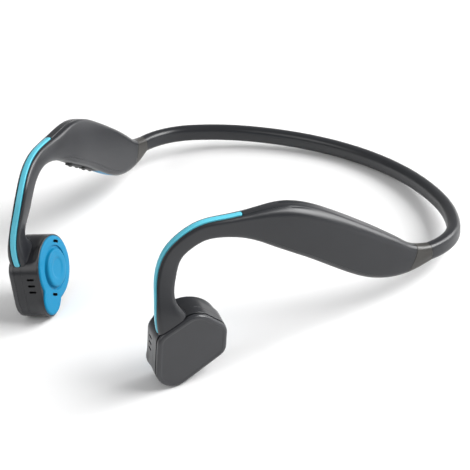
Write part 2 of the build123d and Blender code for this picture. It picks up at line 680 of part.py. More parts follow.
# ---------------------------------------------------------------- assembly
shared = {
    "ear_hook": ear_hook,
    "accent_strip": accent_strip,
    "arm_wire": arm_wire,
    "collar": collar,
    "face_pad": face_pad,
    "vibration_plate": vibration_plate,
    "voice_coil": voice_coil,
    "suspension": suspension,
    "magnet": magnet,
    "driver_yoke": driver_yoke,
}
left_only = {
    "left_pod_base": plain_base,
    "left_driver_cup": driver_cup,
    "multifunction_button": multifunction_button,
    "button_board": button_board,
    "button_switch": button_switch,
    "battery": battery,
}
right_only = {
    "right_pod_base": control_base,
    "right_driver_cup": microphone_cup,
    "right_outer_plate": fixed_plate,
    "microphone": microphone,
    "control_board": control_board,
    "radio_chip": radio_chip,
    "volume_switches": volume_switches,
    "charging_socket": charging_socket,
    "port_cover": port_cover,
    "volume_up_button": volume_keys[0],
    "volume_down_button": volume_keys[1],
}
pieces = {
    "neckband_sheath": neckband_sheath.part,
    "memory_wire": memory_wire.part,
    "signal_wires": signal_wires.part,
}
for name, piece in shared.items():
    pieces["left_" + name] = piece.part
    pieces["right_" + name] = mirror(piece.part, about=Plane.YZ)
for name, piece in left_only.items():
    pieces[name] = piece.part
for name, piece in right_only.items():
    pieces[name] = mirror(piece.part, about=Plane.YZ)

# The set stands on its earpieces and mid-back: the origin is under the middle of its box.
box = Compound(children=[piece.moved(Location()) for piece in pieces.values()]).bounding_box()
standing = Location((-box.center().X, -box.center().Y, -box.min.Z))
os.makedirs("parts", exist_ok=True)
for name, piece in pieces.items():
    placed = piece.moved(standing)
    placed.label = name
    export_step(placed, "parts/" + name + ".step")
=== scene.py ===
import math

import bmesh
import bpy
import numpy as np
from mathutils import Matrix, Vector


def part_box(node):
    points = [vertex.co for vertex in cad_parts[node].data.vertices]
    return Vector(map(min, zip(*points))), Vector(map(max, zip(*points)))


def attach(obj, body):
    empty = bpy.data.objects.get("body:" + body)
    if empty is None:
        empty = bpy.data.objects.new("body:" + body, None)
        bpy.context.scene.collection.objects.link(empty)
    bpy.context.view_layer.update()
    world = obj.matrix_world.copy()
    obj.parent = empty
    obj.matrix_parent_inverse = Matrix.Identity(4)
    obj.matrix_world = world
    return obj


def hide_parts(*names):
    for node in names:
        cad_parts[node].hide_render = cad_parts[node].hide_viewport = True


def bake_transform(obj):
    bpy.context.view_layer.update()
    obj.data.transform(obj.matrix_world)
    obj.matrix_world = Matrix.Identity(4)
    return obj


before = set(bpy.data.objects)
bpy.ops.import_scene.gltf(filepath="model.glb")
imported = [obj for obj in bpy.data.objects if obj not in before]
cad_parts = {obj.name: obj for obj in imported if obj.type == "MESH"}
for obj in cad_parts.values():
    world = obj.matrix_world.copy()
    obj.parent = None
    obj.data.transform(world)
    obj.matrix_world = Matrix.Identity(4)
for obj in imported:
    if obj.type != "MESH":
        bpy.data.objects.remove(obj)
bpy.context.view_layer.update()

# ---------------------------------------------------------------- camera, floor and lights
# A pale seamless floor under a large softbox at the back right, with weaker ones low behind
# and at the front left. The camera looks down at the left earpiece from the front left.
scene = bpy.context.scene
scene.view_settings.view_transform = "Standard"
camera = bpy.data.objects.new("camera", bpy.data.cameras.new("camera"))
scene.collection.objects.link(camera)
camera.data.lens = 152.82
camera.data.sensor_width = 36.0
camera.data.clip_start = 0.01
right_way = Vector((0.6955, 0.6969, -0.1750))
up_way = Vector((-0.2790, 0.4864, 0.8280))
back_way = Vector((0.6621, -0.5270, 0.5328))
camera.matrix_world = Matrix.Translation((0.4378, -0.34695, 0.35858)) @ Matrix(
    (right_way, up_way, back_way)
).transposed().to_4x4()
scene.camera = camera

floor_mesh = bpy.data.meshes.new("floor")
floor_reach, floor_level = 4.0, -0.0002
floor_mesh.from_pydata(
    [(x * floor_reach, y * floor_reach, floor_level)
     for x, y in ((-1, -1), (1, -1), (1, 1), (-1, 1))],
    [],
    [(0, 1, 2, 3)],
)
floor_piece = bpy.data.objects.new("floor", floor_mesh)
scene.collection.objects.link(floor_piece)
floor_paint = bpy.data.materials.new("floor_paint")
floor_paint.use_nodes = True
paint = floor_paint.node_tree.nodes["Principled BSDF"]
paint.inputs["Base Color"].default_value = (0.93, 0.93, 0.93, 1)
paint.inputs["Roughness"].default_value = 0.9
paint.inputs["Specular IOR Level"].default_value = 0.1
floor_mesh.materials.append(floor_paint)

studio = bpy.data.worlds.new("studio")
studio.use_nodes = True
studio.node_tree.nodes["Background"].inputs["Color"].default_value = (1, 1, 1, 1)
studio.node_tree.nodes["Background"].inputs["Strength"].default_value = 0.36
scene.world = studio
SOFTBOXES = {
    "back_right": ((1.0, 0.87, 0.98), (1.15, 0.95), 37.0),
    "back": ((0.45, 1.5, 0.5), (0.9, 0.7), 12.0),
    "front_left": ((-0.5, -1.2, 1.0), (1.0, 1.0), 6.0),
}
for name, (place, (width, depth), power) in SOFTBOXES.items():
    lamp = bpy.data.lights.new(name, "AREA")
    lamp.shape = "RECTANGLE"
    lamp.size, lamp.size_y, lamp.energy = width, depth, power
    softbox = bpy.data.objects.new(name, lamp)
    softbox.location = place
    softbox.rotation_mode = "QUATERNION"
    softbox.rotation_quaternion = Vector(place).to_track_quat("Z", "Y")
    scene.collection.objects.link(softbox)

# ---------------------------------------------------------------- neckband
# A flat oval silicone sheath over a titanium memory wire and two signal wires, which joins the
# two sides behind the neck. Each half is swept along three tangent arcs in one tilted plane.
MM = 0.001
BAND_TILT = math.radians(10.6)
BAND_ARCS = [(98.0, 28.0), (60.0, 19.0), (22.0, 53.0)]
BAND_STEP = 0.8
BAND_SIZE = (5.6, 4.3)
BAND_ROUNDING = 1.9
CORE_RADIUS = 0.8
CORE_INSERT = 5.5
WIRE_RADIUS = 0.4
WIRE_SPACING = 1.55
WIRE_INSERT = 6.5
GRAIN_HEIGHT = 0.000008
MOTTLE_SCALE = 90               # of the slow changes of shade and gloss
GLOSS_PLAY = 0.08               # how far the roughness strays either way


def moulded(name, colour, roughness, grain=9000, relief=0.25, mottle=0.1, metal=0.0,
            stretch=(1, 1, 1), specular=0.5):
    """A moulded or rolled finish: fine grain in relief, slow changes of shade and of gloss."""
    material = bpy.data.materials.new(name)
    material.use_nodes = True
    nodes, links = material.node_tree.nodes, material.node_tree.links
    skin = nodes["Principled BSDF"]
    skin.inputs["Metallic"].default_value = metal
    skin.inputs["Specular IOR Level"].default_value = specular
    place = nodes.new("ShaderNodeTexCoord")
    turn = nodes.new("ShaderNodeMapping")
    turn.inputs["Scale"].default_value = stretch
    links.new(place.outputs["Object"], turn.inputs["Vector"])
    fine, slow = nodes.new("ShaderNodeTexNoise"), nodes.new("ShaderNodeTexNoise")
    for noise, scale, detail in ((fine, grain, 3), (slow, MOTTLE_SCALE, 5)):
        noise.inputs["Scale"].default_value = scale
        noise.inputs["Detail"].default_value = detail
        links.new(turn.outputs["Vector"], noise.inputs["Vector"])
    bump = nodes.new("ShaderNodeBump")
    bump.inputs["Strength"].default_value = relief
    bump.inputs["Distance"].default_value = GRAIN_HEIGHT
    links.new(fine.outputs["Fac"], bump.inputs["Height"])
    links.new(bump.outputs["Normal"], skin.inputs["Normal"])
    shade = nodes.new("ShaderNodeValToRGB")
    shade.color_ramp.elements[0].position = 0.3
    shade.color_ramp.elements[1].position = 0.7
    for stop, change in zip(shade.color_ramp.elements, (1 - mottle, 1 + mottle)):
        stop.color = (*[min(1.0, part * change) for part in colour], 1)
    links.new(slow.outputs["Fac"], shade.inputs["Fac"])
    links.new(shade.outputs["Color"], skin.inputs["Base Color"])
    gloss = nodes.new("ShaderNodeMapRange")
    gloss.inputs["To Min"].default_value = roughness - GLOSS_PLAY
    gloss.inputs["To Max"].default_value = roughness + GLOSS_PLAY
    links.new(slow.outputs["Fac"], gloss.inputs["Value"])
    links.new(gloss.outputs["Result"], skin.inputs["Roughness"])
    return material


graphite_silicone = moulded("graphite_silicone", (0.013, 0.014, 0.017), 0.31, relief=0.15,
                             specular=0.52)
titanium = moulded("titanium", (0.42, 0.40, 0.37), 0.3, 2500, 0.2, metal=1.0,
                   stretch=(0.05, 0.05, 1))
wire_insulation = moulded("wire_insulation", (0.25, 0.015, 0.012), 0.35, 4000, 0.1)


def new_tree(name, sizes):
    """A geometry node tree with named inputs, ending in Realize Instances and Set Material."""
    tree = bpy.data.node_groups.new(name, "GeometryNodeTree")
    tree.interface.new_socket("Line", in_out="INPUT", socket_type="NodeSocketGeometry")
    for label, kind in sizes.items():
        tree.interface.new_socket(label, in_out="INPUT", socket_type="NodeSocket" + kind)
    tree.interface.new_socket("Material", in_out="INPUT", socket_type="NodeSocketMaterial")
    tree.interface.new_socket("Piece", in_out="OUTPUT", socket_type="NodeSocketGeometry")
    entry = tree.nodes.new("NodeGroupInput")
    real = tree.nodes.new("GeometryNodeRealizeInstances")
    paint = tree.nodes.new("GeometryNodeSetMaterial")
    end = tree.nodes.new("NodeGroupOutput")
    tree.links.new(real.outputs["Geometry"], paint.inputs["Geometry"])
    tree.links.new(entry.outputs["Material"], paint.inputs["Material"])
    tree.links.new(paint.outputs["Geometry"], end.inputs["Piece"])
    return tree, entry, real


def grown(name, points, edges, tree, sizes):
    """The plain mesh piece that a tree grows on points and edges given in metres."""
    mesh = bpy.data.meshes.new(name)
    mesh.from_pydata(points, edges, [])
    piece = bpy.data.objects.new(name, mesh)
    scene.collection.objects.link(piece)
    modifier = piece.modifiers.new("grow", "NODES")
    modifier.node_group = tree
    for item in tree.interface.items_tree:
        if item.in_out == "INPUT" and item.name in sizes:
            modifier[item.identifier] = sizes[item.name]
    return settled(piece)


def settled(piece):
    """The piece with its modifiers made part of its mesh."""
    bpy.context.view_layer.update()
    depsgraph = bpy.context.evaluated_depsgraph_get()
    mesh = bpy.data.meshes.new_from_object(
        piece.evaluated_get(depsgraph), preserve_all_data_layers=True, depsgraph=depsgraph
    )
    piece.modifiers.clear()
    mesh.name = piece.name
    piece.data = mesh
    return piece


def smooth(piece, crease=35):
    """Smooth shading that breaks at edges sharper than the crease angle."""
    piece.data.shade_smooth()
    piece.data.set_sharp_from_angle(angle=math.radians(crease))
    return piece


def mirrored(piece, name):
    """A copy of a left-hand piece for the right-hand side."""
    mesh = piece.data.copy()
    mesh.name = name
    mesh.transform(Matrix.Scale(-1, 4, (1, 0, 0)))
    mesh.flip_normals()
    twin = bpy.data.objects.new(name, mesh)
    scene.collection.objects.link(twin)
    return twin


def put_on_sides(left, right, node):
    """A left-hand piece and its twin, each fixed to its side in place of its CAD node."""
    for piece, side in ((left, "left"), (right, "right")):
        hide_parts(f"{side}_{node}")
        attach(piece, side + "_side")


def new_nodes(tree, *kinds):
    return [tree.nodes.new("GeometryNode" + kind) for kind in kinds]


def wired(tree, links):
    for source, out, target, into in links:
        tree.links.new(source.outputs[out], target.inputs[into])


sweep_tree, entry, real = new_tree(
    "oval_swept_on_a_line",
    {"Height": "Float", "Thickness": "Float", "Rounding": "Float", "Steps": "Int",
     "Tilt": "Rotation", "Middle": "Vector"},
)
line, upright, oval, fillet, sweep, stand = new_nodes(
    sweep_tree, "MeshToCurve", "SetCurveNormal", "CurvePrimitiveQuadrilateral", "FilletCurve",
    "CurveToMesh", "Transform",
)
upright.mode, fillet.mode = "Z_UP", "POLY"
sweep.inputs["Fill Caps"].default_value = True
wired(sweep_tree, (
    (entry, "Line", line, "Mesh"),
    (line, "Curve", upright, "Curve"),
    (entry, "Thickness", oval, "Width"),
    (entry, "Height", oval, "Height"),
    (oval, "Curve", fillet, "Curve"),
    (entry, "Rounding", fillet, "Radius"),
    (entry, "Steps", fillet, "Count"),
    (upright, "Curve", sweep, "Curve"),
    (fillet, "Curve", sweep, "Profile Curve"),
    (sweep, "Mesh", stand, "Geometry"),
    (entry, "Middle", stand, "Translation"),
    (entry, "Tilt", stand, "Rotation"),
    (stand, "Geometry", real, "Geometry"),
))

# The memory wire's box gives the middle of the band behind the neck.
wire_low, wire_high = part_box("memory_wire")
mid_back = Vector((0, wire_high.y - CORE_RADIUS * MM, wire_low.z + CORE_RADIUS * MM))
flat_band = [(0.0, 0.0)]
heading = 0.0
for radius, sweep_angle in BAND_ARCS:
    start_x, start_y = flat_band[-1]
    centre_x = start_x - radius * math.sin(heading)
    centre_y = start_y + radius * math.cos(heading)
    steps = math.ceil(radius * math.radians(sweep_angle) / BAND_STEP)
    for step in range(1, steps + 1):
        turn = heading + math.radians(sweep_angle) * step / steps
        flat_band.append((centre_x + radius * math.sin(turn), centre_y - radius * math.cos(turn)))
    heading += math.radians(sweep_angle)


def stood(x, y):
    """A point of the flat band, in millimetres, at its place in the tilted plane, in metres."""
    tilt = Matrix.Rotation(-BAND_TILT, 3, "X")
    return mid_back + tilt @ Vector((x, -y, 0)) * MM


def band_half(name, heights, beyond, size, rounding, steps, material):
    """The left half of something swept along the band, once at each height in it."""
    points, edges = [], []
    route = flat_band + [
        (flat_band[-1][0] + beyond * share * math.cos(heading),
         flat_band[-1][1] + beyond * share * math.sin(heading))
        for share in ((0.25, 0.5, 0.75, 1.0) if beyond else ())
    ]
    for height in heights:
        first = len(points)
        points += [(x * MM, -y * MM, height * MM) for x, y in route]
        edges += [(number, number + 1) for number in range(first, len(points) - 1)]
    return smooth(grown(name, points, edges, sweep_tree, {
        "Height": size[0] * MM, "Thickness": size[1] * MM, "Rounding": rounding * MM,
        "Steps": steps, "Tilt": (-BAND_TILT, 0, 0), "Middle": mid_back, "Material": material,
    }))


for name, node, finish, halves in (
    ("sheath", "neckband_sheath", "graphite_silicone",
     ((0.0,), 0, BAND_SIZE, BAND_ROUNDING, 7, graphite_silicone)),
    ("core", "memory_wire", "titanium",
     ((0.0,), CORE_INSERT, (2 * CORE_RADIUS,) * 2, CORE_RADIUS * 0.999, 4, titanium)),
    ("leads", "signal_wires", "wire_insulation",
     ((-WIRE_SPACING, WIRE_SPACING), WIRE_INSERT, (2 * WIRE_RADIUS,) * 2, WIRE_RADIUS * 0.999, 3,
      wire_insulation)),
):
    left = band_half("left_band_" + name, *halves)
    right = mirrored(left, "right_band_" + name)
    for piece, side, flip in ((left, "left_side", 1), (right, "right_side", -1)):
        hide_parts(node)
        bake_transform(piece)

# ---------------------------------------------------------------- ear hooks
# Each side's pod shell, arm and earpiece rim are one moulding of rubber-coated nylon. Its
# cross-sections follow the body from the collar round over the ear to the earpiece. A shallow
# groove down the front of the arm takes the coloured strip.
COLLAR_END = np.array(stood(*flat_band[-1])) / MM
FORWARDS = np.array(Matrix.Rotation(-BAND_TILT, 3, "X")
                    @ Vector((math.cos(heading), -math.sin(heading), 0)))
UP = np.array((0.0, 0.0, 1.0))
# Places from the collar's rear end, then height across and thickness through the body.
SECTIONS = [
    (0.0, 0.0, 0.0, 5.6, 4.3),
    (-1.8, -6.0, 0.9, 8.8, 5.0),
    (-3.8, -11.9, 3.4, 12.8, 5.8),
    (-7.7, -22.3, 11.65, 15.9, 6.8),
    (-12.2, -32.7, 21.5, 15.8, 7.2),
    (-17.4, -42.7, 29.1, 14.0, 6.8),
    (-21.6, -51.4, 33.0, 8.8, 5.8),
    (-24.9, -58.4, 35.1, 6.6, 5.0),
    (-27.9, -64.1, 35.8, 6.2, 4.5),
    (-30.3, -69.0, 34.4, 6.1, 4.3),
    (-32.4, -73.4, 31.3, 6.1, 4.1),
    (-32.9, -77.2, 25.8, 6.3, 4.0),
    (-31.8, -80.4, 17.6, 6.6, 4.2),
    (-31.3, -80.3, 12.6, 9.5, 6.0),
    (-31.4, -78.9, 7.3, 12.0, 6.6),
]
ARM_FIRST, STRIP_LAST = 7, 13
BODY_ROUNDING = 0.42      # corner radius as a share of the thinner side
POD_INNER_ROUNDING = 0.15
POD_TOP_ROUNDING = 0.48
STRIP_BEHIND = 5.5        # how far the strip runs on past its first and last sections
STRIP_BELOW = 2.4
ARM_FRONT_ROUNDING = 0.30
BODY_STEP = 0.3           # between the sampled cross-sections
SKIN_EVERY = 2            # of those, how many apart the mesh's rings lie
GROOVE_HALF_WIDTH = 1.08
GROOVE_DEPTH = 1.0
GROOVE_LIP = 0.30         # chamfer beside the strip
LINE_DEPTH = 0.22         # the groove's edges run on as lines over the front of the pod
POD_CROWN = 0.25
POD_INNER_CROWN = 0.04
ARM_CROWN = 0.06
SEAM_LEAN = math.radians(36.0)
SEAM_DISTANCE = 6.9
EDGE_ROUNDING = 0.12
JOIN_ROUNDING = 0.05      # where the cup and the rim meet
EARPIECE_CENTRE = (-32.5, -76.0, -0.3)
EARPIECE_TOE_OUT, EARPIECE_LEAN, EARPIECE_ROLL = (math.radians(a) for a in (27.0, 3.7, 12.7))
EARPIECE_CORNERS = [(-10.8, 7.5), (-10.8, -17.2), (11.3, -0.8), (11.3, 8.4), (1.6, 15.4)]
EARPIECE_RADII = [5.0, 6.0, 4.5, 4.5, 6.0]
CORNER_STEPS, SIDE_STEPS = 12, 8
CUP_TOP, WEB_TOP, RIM_TOP = 1.0, 2.0, 3.9
EARPIECE_WALL = 1.3
PLATE_POCKET_GAP = 0.2
GUIDE_SPOTS = [(-6.5, 1.0), (7.0, 4.0)]
GUIDE_RADIUS = 1.0
GUIDE_CLEARANCE = 0.1
TOOL_REACH = 8.0          # of the tools that cut the earpiece, past its faces
POD_CENTRE = (-10.0, -27.8, 16.7)
POD_LINE = ((-3.8, -11.9, 3.8), (-17.4, -42.7, 29.1))     # the pod's rear end and front end
POD_WALL = 1.2
POD_FLOOR = 5.4
BASE_DEPTH = 1.7          # of the base, up from the pod's lower edge
BASE_GAP = 0.06
BASE_SHIFT = 3.0          # how much further forward than the sections at its ends it lies
BASE_TAPER = 2.2          # how soon it reaches its full depth from its ends
BASE_BELOW, BASE_REACH = 6, 9      # of the tool that cuts it, past the pod
BASE_RINGS, CAVITY_RINGS = 60, 50
CAVITY_START = 1.5
GROOVE_END = 0.15         # how far past the strip's ends its groove runs
GROOVE_STEP = 0.01        # between the rings at the groove's end

graphite_plastic = moulded("graphite_plastic", (0.013, 0.014, 0.017), 0.31, relief=0.15,
                            specular=0.52)


def unit(vector):
    return vector / np.linalg.norm(vector)


level = np.array((math.sin(EARPIECE_TOE_OUT), math.cos(EARPIECE_TOE_OUT), 0.0))
earpiece_out = np.array((
    math.cos(EARPIECE_TOE_OUT) * math.cos(EARPIECE_LEAN),
    -math.sin(EARPIECE_TOE_OUT) * math.cos(EARPIECE_LEAN),
    -math.sin(EARPIECE_LEAN),
))
rise = np.cross(earpiece_out, level)
earpiece_rear = level * math.cos(EARPIECE_ROLL) - rise * math.sin(EARPIECE_ROLL)
earpiece_up = np.cross(earpiece_out, earpiece_rear)
earpiece_middle = COLLAR_END + np.array(EARPIECE_CENTRE)

centres = COLLAR_END + np.array([section[:3] for section in SECTIONS])
frames = []
for number, section in enumerate(SECTIONS):
    behind, ahead = max(number - 1, 0), min(number + 1, len(SECTIONS) - 1)
    way = -FORWARDS if number == 0 else unit(centres[behind] - centres[ahead])
    outward = earpiece_out if number >= ARM_FIRST else unit(np.cross(way, UP))
    side = unit(outward - way * outward.dot(way))
    frames.append(np.concatenate((centres[number], side, np.cross(way, side), section[3:])))
frames = np.array(frames)
marks = np.concatenate(([0], np.cumsum(np.linalg.norm(np.diff(centres, axis=0), axis=1))))
strip_start, strip_end = marks[ARM_FIRST] - STRIP_BEHIND, marks[STRIP_LAST] + STRIP_BELOW


def smooth_through(knots, values, places):
    """Values at places on the natural cubic spline through the knots."""
    gaps = np.diff(knots)
    slopes = np.diff(values, axis=0) / gaps[:, None]
    bends = np.eye(len(knots))
    pulls = np.zeros_like(values)
    for row in range(1, len(knots) - 1):
        bends[row, row - 1:row + 2] = gaps[row - 1], 2 * (gaps[row - 1] + gaps[row]), gaps[row]
        pulls[row] = 6 * (slopes[row] - slopes[row - 1])
    curvature = np.linalg.solve(bends, pulls)
    spans = np.clip(np.searchsorted(knots, places) - 1, 0, len(gaps) - 1)
    gap = gaps[spans][:, None]
    before = (places - knots[spans])[:, None]
    after = gap - before
    return (
        curvature[spans] * after**3 / (6 * gap)
        + curvature[spans + 1] * before**3 / (6 * gap)
        + (values[spans] / gap - curvature[spans] * gap / 6) * after
        + (values[spans + 1] / gap - curvature[spans + 1] * gap / 6) * before
    )


def ramp(value, low, high):
    """0 below low, 1 above high, and a soft step between them."""
    share = min(1.0, max(0.0, (value - low) / (high - low)))
    return share * share * (3 - 2 * share)


def half_outline(height, thickness, rounding, front_rounding, width, depth, line, crown):
    """The cross-section's edge from the middle of its front, round outside, to its rear."""
    radius = rounding * min(height, thickness)
    front = front_rounding * min(height, thickness)

    def fall(x):
        over = max(0.0, x - (thickness / 2 - front))
        return front - math.sqrt(max(0.0, front * front - over * over))

    across = [(0, depth), (0.35 * width, depth), (0.7 * width, depth), (width - 0.1, depth),
              (width + 0.02, max(depth, line)), (width + 0.08, max(min(depth, 0.3), line)),
              (width + GROOVE_LIP, 0)]
    points = [(x, -height / 2 + fall(x) + down) for x, down in across]
    start = math.asin(min(1.0, max(0.0, (across[-1][0] - thickness / 2 + front) / front)))
    for share in (0.15, 0.3, 0.45, 0.6, 0.75, 0.9, 1.0):
        angle = start + (math.pi / 2 - start) * share
        points.append((thickness / 2 - front + front * math.sin(angle),
                       -height / 2 + front - front * math.cos(angle)))
    top, low = -height / 2 + front, height / 2 - radius
    for share in (0.12, 0.25, 0.4, 0.5, 0.6, 0.75, 0.88):
        points.append((thickness / 2 + crown * 4 * share * (1 - share), top + (low - top) * share))
    for share in (0.0, 0.14, 0.28, 0.42, 0.57, 0.71, 0.86, 1.0):
        angle = math.pi / 2 * share
        points.append((thickness / 2 - radius + radius * math.cos(angle),
                       height / 2 - radius + radius * math.sin(angle)))
    points.append(((thickness / 2 - radius) * 0.5, height / 2))
    return points


def body_rings(places, inset=0.0, grooved=True):
    """Cross-sections of the side body at distances along it, drawn smaller by the inset."""
    rings = []
    for place, values in zip(places, smooth_through(marks, frames, np.asarray(places))):
        centre, side, down = values[:3], unit(values[3:6]), unit(values[6:9])
        height, thickness = values[9] - 2 * inset, values[10] - 2 * inset
        on_arm = ramp(place, marks[ARM_FIRST - 2], marks[ARM_FIRST])
        in_strip = strip_start - GROOVE_END < place < strip_end + GROOVE_END
        on_pod = ramp(place, marks[1], marks[3]) * (1 - on_arm)
        outer, inner = [half_outline(
            height, thickness, rounding,
            front + (ARM_FRONT_ROUNDING - front) * on_arm,
            GROOVE_HALF_WIDTH,
            GROOVE_DEPTH if grooved and in_strip else 0.0,
            LINE_DEPTH * ramp(place, marks[ARM_FIRST - 3], marks[ARM_FIRST - 1]) * grooved
            * (1 - ramp(place, strip_end + 0.5, strip_end + 2)),
            crown + (ARM_CROWN - crown) * on_arm,
        ) for rounding, front, crown in (
            (BODY_ROUNDING, BODY_ROUNDING + (POD_TOP_ROUNDING - BODY_ROUNDING) * on_pod, POD_CROWN),
            (*[BODY_ROUNDING + (POD_INNER_ROUNDING - BODY_ROUNDING) * on_pod] * 2,
             POD_INNER_CROWN))]
        loop = outer + [(0.0, height / 2)] + [(-x, y) for x, y in inner[:0:-1]]
        rings.append([centre + side * x + down * y for x, y in loop])
    return np.array(rings)


def solid(name, rings, material=graphite_plastic, loop=False):
    """A closed mesh through rings of points in millimetres; a loop joins the last to the first."""
    count, total = len(rings[0]), len(rings)
    faces = []
    for low in range(total if loop else total - 1):
        high = (low + 1) % total
        for k in range(count):
            after = (k + 1) % count
            faces.append((low * count + k, low * count + after,
                          high * count + after, high * count + k))
    if not loop:
        faces.append(tuple(range(count)))
        faces.append(tuple((total - 1) * count + k for k in range(count)))
    mesh = bpy.data.meshes.new(name)
    mesh.from_pydata((np.concatenate([np.asarray(ring) for ring in rings]) * MM).tolist(), [],
                     faces)
    mesh.materials.append(material)
    shape = bmesh.new()
    shape.from_mesh(mesh)
    bmesh.ops.recalc_face_normals(shape, faces=shape.faces)
    shape.to_mesh(mesh)
    shape.free()
    piece = bpy.data.objects.new(name, mesh)
    scene.collection.objects.link(piece)
    return piece


def joined(piece, *others):
    """One piece whose mesh holds all the shells given."""
    shape = bmesh.new()
    for part in (piece,) + others:
        shape.from_mesh(part.data)
    shape.to_mesh(piece.data)
    shape.free()
    for part in others:
        bpy.data.objects.remove(part)
    return piece


def cut(piece, tool, operation="DIFFERENCE"):
    """The piece cut by, joined to or kept inside a tool, which is then thrown away."""
    modifier = piece.modifiers.new("cut", "BOOLEAN")
    modifier.operation, modifier.solver, modifier.object = operation, "EXACT", tool
    modifier.material_mode = "TRANSFER"
    settled(piece)
    bpy.data.objects.remove(tool)
    return piece


def earpiece_point(x, y, z):
    return earpiece_middle + earpiece_rear * x + earpiece_up * y + earpiece_out * z


def earpiece_ring(z, inset):
    """The rounded five-sided outline at height z, drawn smaller by the inset."""
    corners = [np.array(corner) for corner in EARPIECE_CORNERS]
    ways = [unit(after - here) for here, after in zip(corners, corners[1:] + corners[:1])]
    flat = []
    for number, (corner, radius) in enumerate(zip(corners, EARPIECE_RADII)):
        before, after = ways[number - 1], ways[number]
        turn = math.acos(before.dot(after))
        inward = unit(after - before)
        reach = radius / math.cos(turn / 2)
        middle = corner + inward * reach
        size = radius - inset
        start = math.atan2(-before[0], before[1])
        for step in range(CORNER_STEPS + 1):
            angle = start + turn * step / CORNER_STEPS
            flat.append(middle + size * np.array((math.cos(angle), math.sin(angle))))
        goal = corners[(number + 1) % len(corners)]
        next_turn = math.acos(after.dot(ways[(number + 1) % len(corners)]))
        outer = np.array((after[1], -after[0]))
        leave = flat[-1]
        next_radius = EARPIECE_RADII[(number + 1) % len(corners)]
        arrive = goal - after * next_radius * math.tan(next_turn / 2) - outer * inset
        for step in range(1, SIDE_STEPS):
            flat.append(leave + (arrive - leave) * step / SIDE_STEPS)
    return [earpiece_point(x, y, z) for x, y in flat]


def rounded_edge(*shares):
    """How far down and inwards an edge of radius 1 lies at shares of its quarter turn."""
    return [(1 - math.sin(math.pi / 2 * share), 1 - math.cos(math.pi / 2 * share))
            for share in shares]


def round_ring(x, y, z, radius, count=32):
    """A circle about a point of the earpiece's plane."""
    return [earpiece_point(x + radius * math.cos(math.tau * k / count),
                           y + radius * math.sin(math.tau * k / count), z)
            for k in range(count)]


pod_middle = COLLAR_END + np.array(POD_CENTRE)
pod_rear = unit(np.array(POD_LINE[0]) - np.array(POD_LINE[1]))
pod_out = unit(np.cross(pod_rear, UP))
pod_down = np.cross(pod_rear, pod_out)

# The seam before the collar is a slanted plane, so the rings next to it slant too.
seam_middle = COLLAR_END + FORWARDS * SEAM_DISTANCE
seam_rise = np.array((0, math.sin(SEAM_LEAN), math.cos(SEAM_LEAN)))
seam_normal = unit(np.cross(seam_rise, np.cross(-FORWARDS, UP)))
sampled = np.linspace(0, marks[-1], round(marks[-1] / BODY_STEP))
sampled = np.unique(np.concatenate((sampled, [
    mark + way * (GROOVE_END + step) for mark in (strip_start, strip_end)
    for way in (-1, 1) for step in (-GROOVE_STEP, GROOVE_STEP)])))
sampled_rings = body_rings(sampled)
slots = range(sampled_rings.shape[1])


def warped_ring(places):
    """A ring whose points lie at their own distances along the body."""
    return np.array([[np.interp(places[k], sampled, sampled_rings[:, k, axis])
                      for axis in range(3)] for k in slots])


near_collar = sampled < marks[3]
heights = (sampled_rings[near_collar] - seam_middle) @ seam_normal
seam_places = np.array([
    np.interp(0, *zip(*sorted(zip(heights[:, k], sampled[near_collar])))) for k in slots
])
seam_mean = seam_places.mean()


def shrunk(ring, amount):
    """A ring drawn in towards its middle."""
    ring = np.asarray(ring)
    inward = ring.mean(axis=0) - ring
    return ring + inward / np.linalg.norm(inward, axis=1)[:, None] * amount


def hook_rings():
    """The ear hook's rings, from its slanted seam to its foot inside the rim."""
    rings = [shrunk(warped_ring(seam_places), EDGE_ROUNDING)]
    blend_end = marks[3]
    last = seam_mean + EDGE_ROUNDING
    at_groove_ends = [place for place in sampled
                      if min(abs(place - strip_start), abs(place - strip_end)) < GROOVE_END + 0.05]
    spaced = [place for place in sampled[::SKIN_EVERY] if place > last + BODY_STEP]
    for place in [last] + spaced + at_groove_ends:
        share = max(0.0, (blend_end - place) / (blend_end - seam_mean))
        rings.append((place, warped_ring(place + (seam_places - seam_mean) * share**2)))
    rings[1:] = [ring for place, ring in sorted(rings[1:], key=lambda pair: pair[0])]
    return rings


left_hook = solid("left_ear_hook_skin", hook_rings())
rim = solid("rim", [earpiece_ring(CUP_TOP, JOIN_ROUNDING),
                    earpiece_ring(CUP_TOP + JOIN_ROUNDING, 0),
                    earpiece_ring((CUP_TOP + RIM_TOP) / 2, 0),
                    earpiece_ring(RIM_TOP - EDGE_ROUNDING, 0),
                    earpiece_ring(RIM_TOP, EDGE_ROUNDING)])
cut(left_hook, rim, "UNION")
# The outer plate's pocket, with the holes for its two guide posts, then the room for the cup.
pocket_edge = RIM_TOP + 0.002
pocket = solid("pocket", [earpiece_ring(WEB_TOP, EARPIECE_WALL),
                          earpiece_ring(pocket_edge, EARPIECE_WALL),
                          earpiece_ring(pocket_edge, -PLATE_POCKET_GAP),
                          earpiece_ring(RIM_TOP + TOOL_REACH, -PLATE_POCKET_GAP)])
holes = [solid("hole", [round_ring(x, y, z, GUIDE_RADIUS + GUIDE_CLEARANCE, 24)
                        for z in (CUP_TOP - 1, WEB_TOP + 0.3)]) for x, y in GUIDE_SPOTS]
cut(left_hook, joined(pocket, *holes))
cut(left_hook, solid("cup_room", [earpiece_ring(CUP_TOP, -BASE_GAP),
                                  earpiece_ring(CUP_TOP - TOOL_REACH, -BASE_GAP)]))


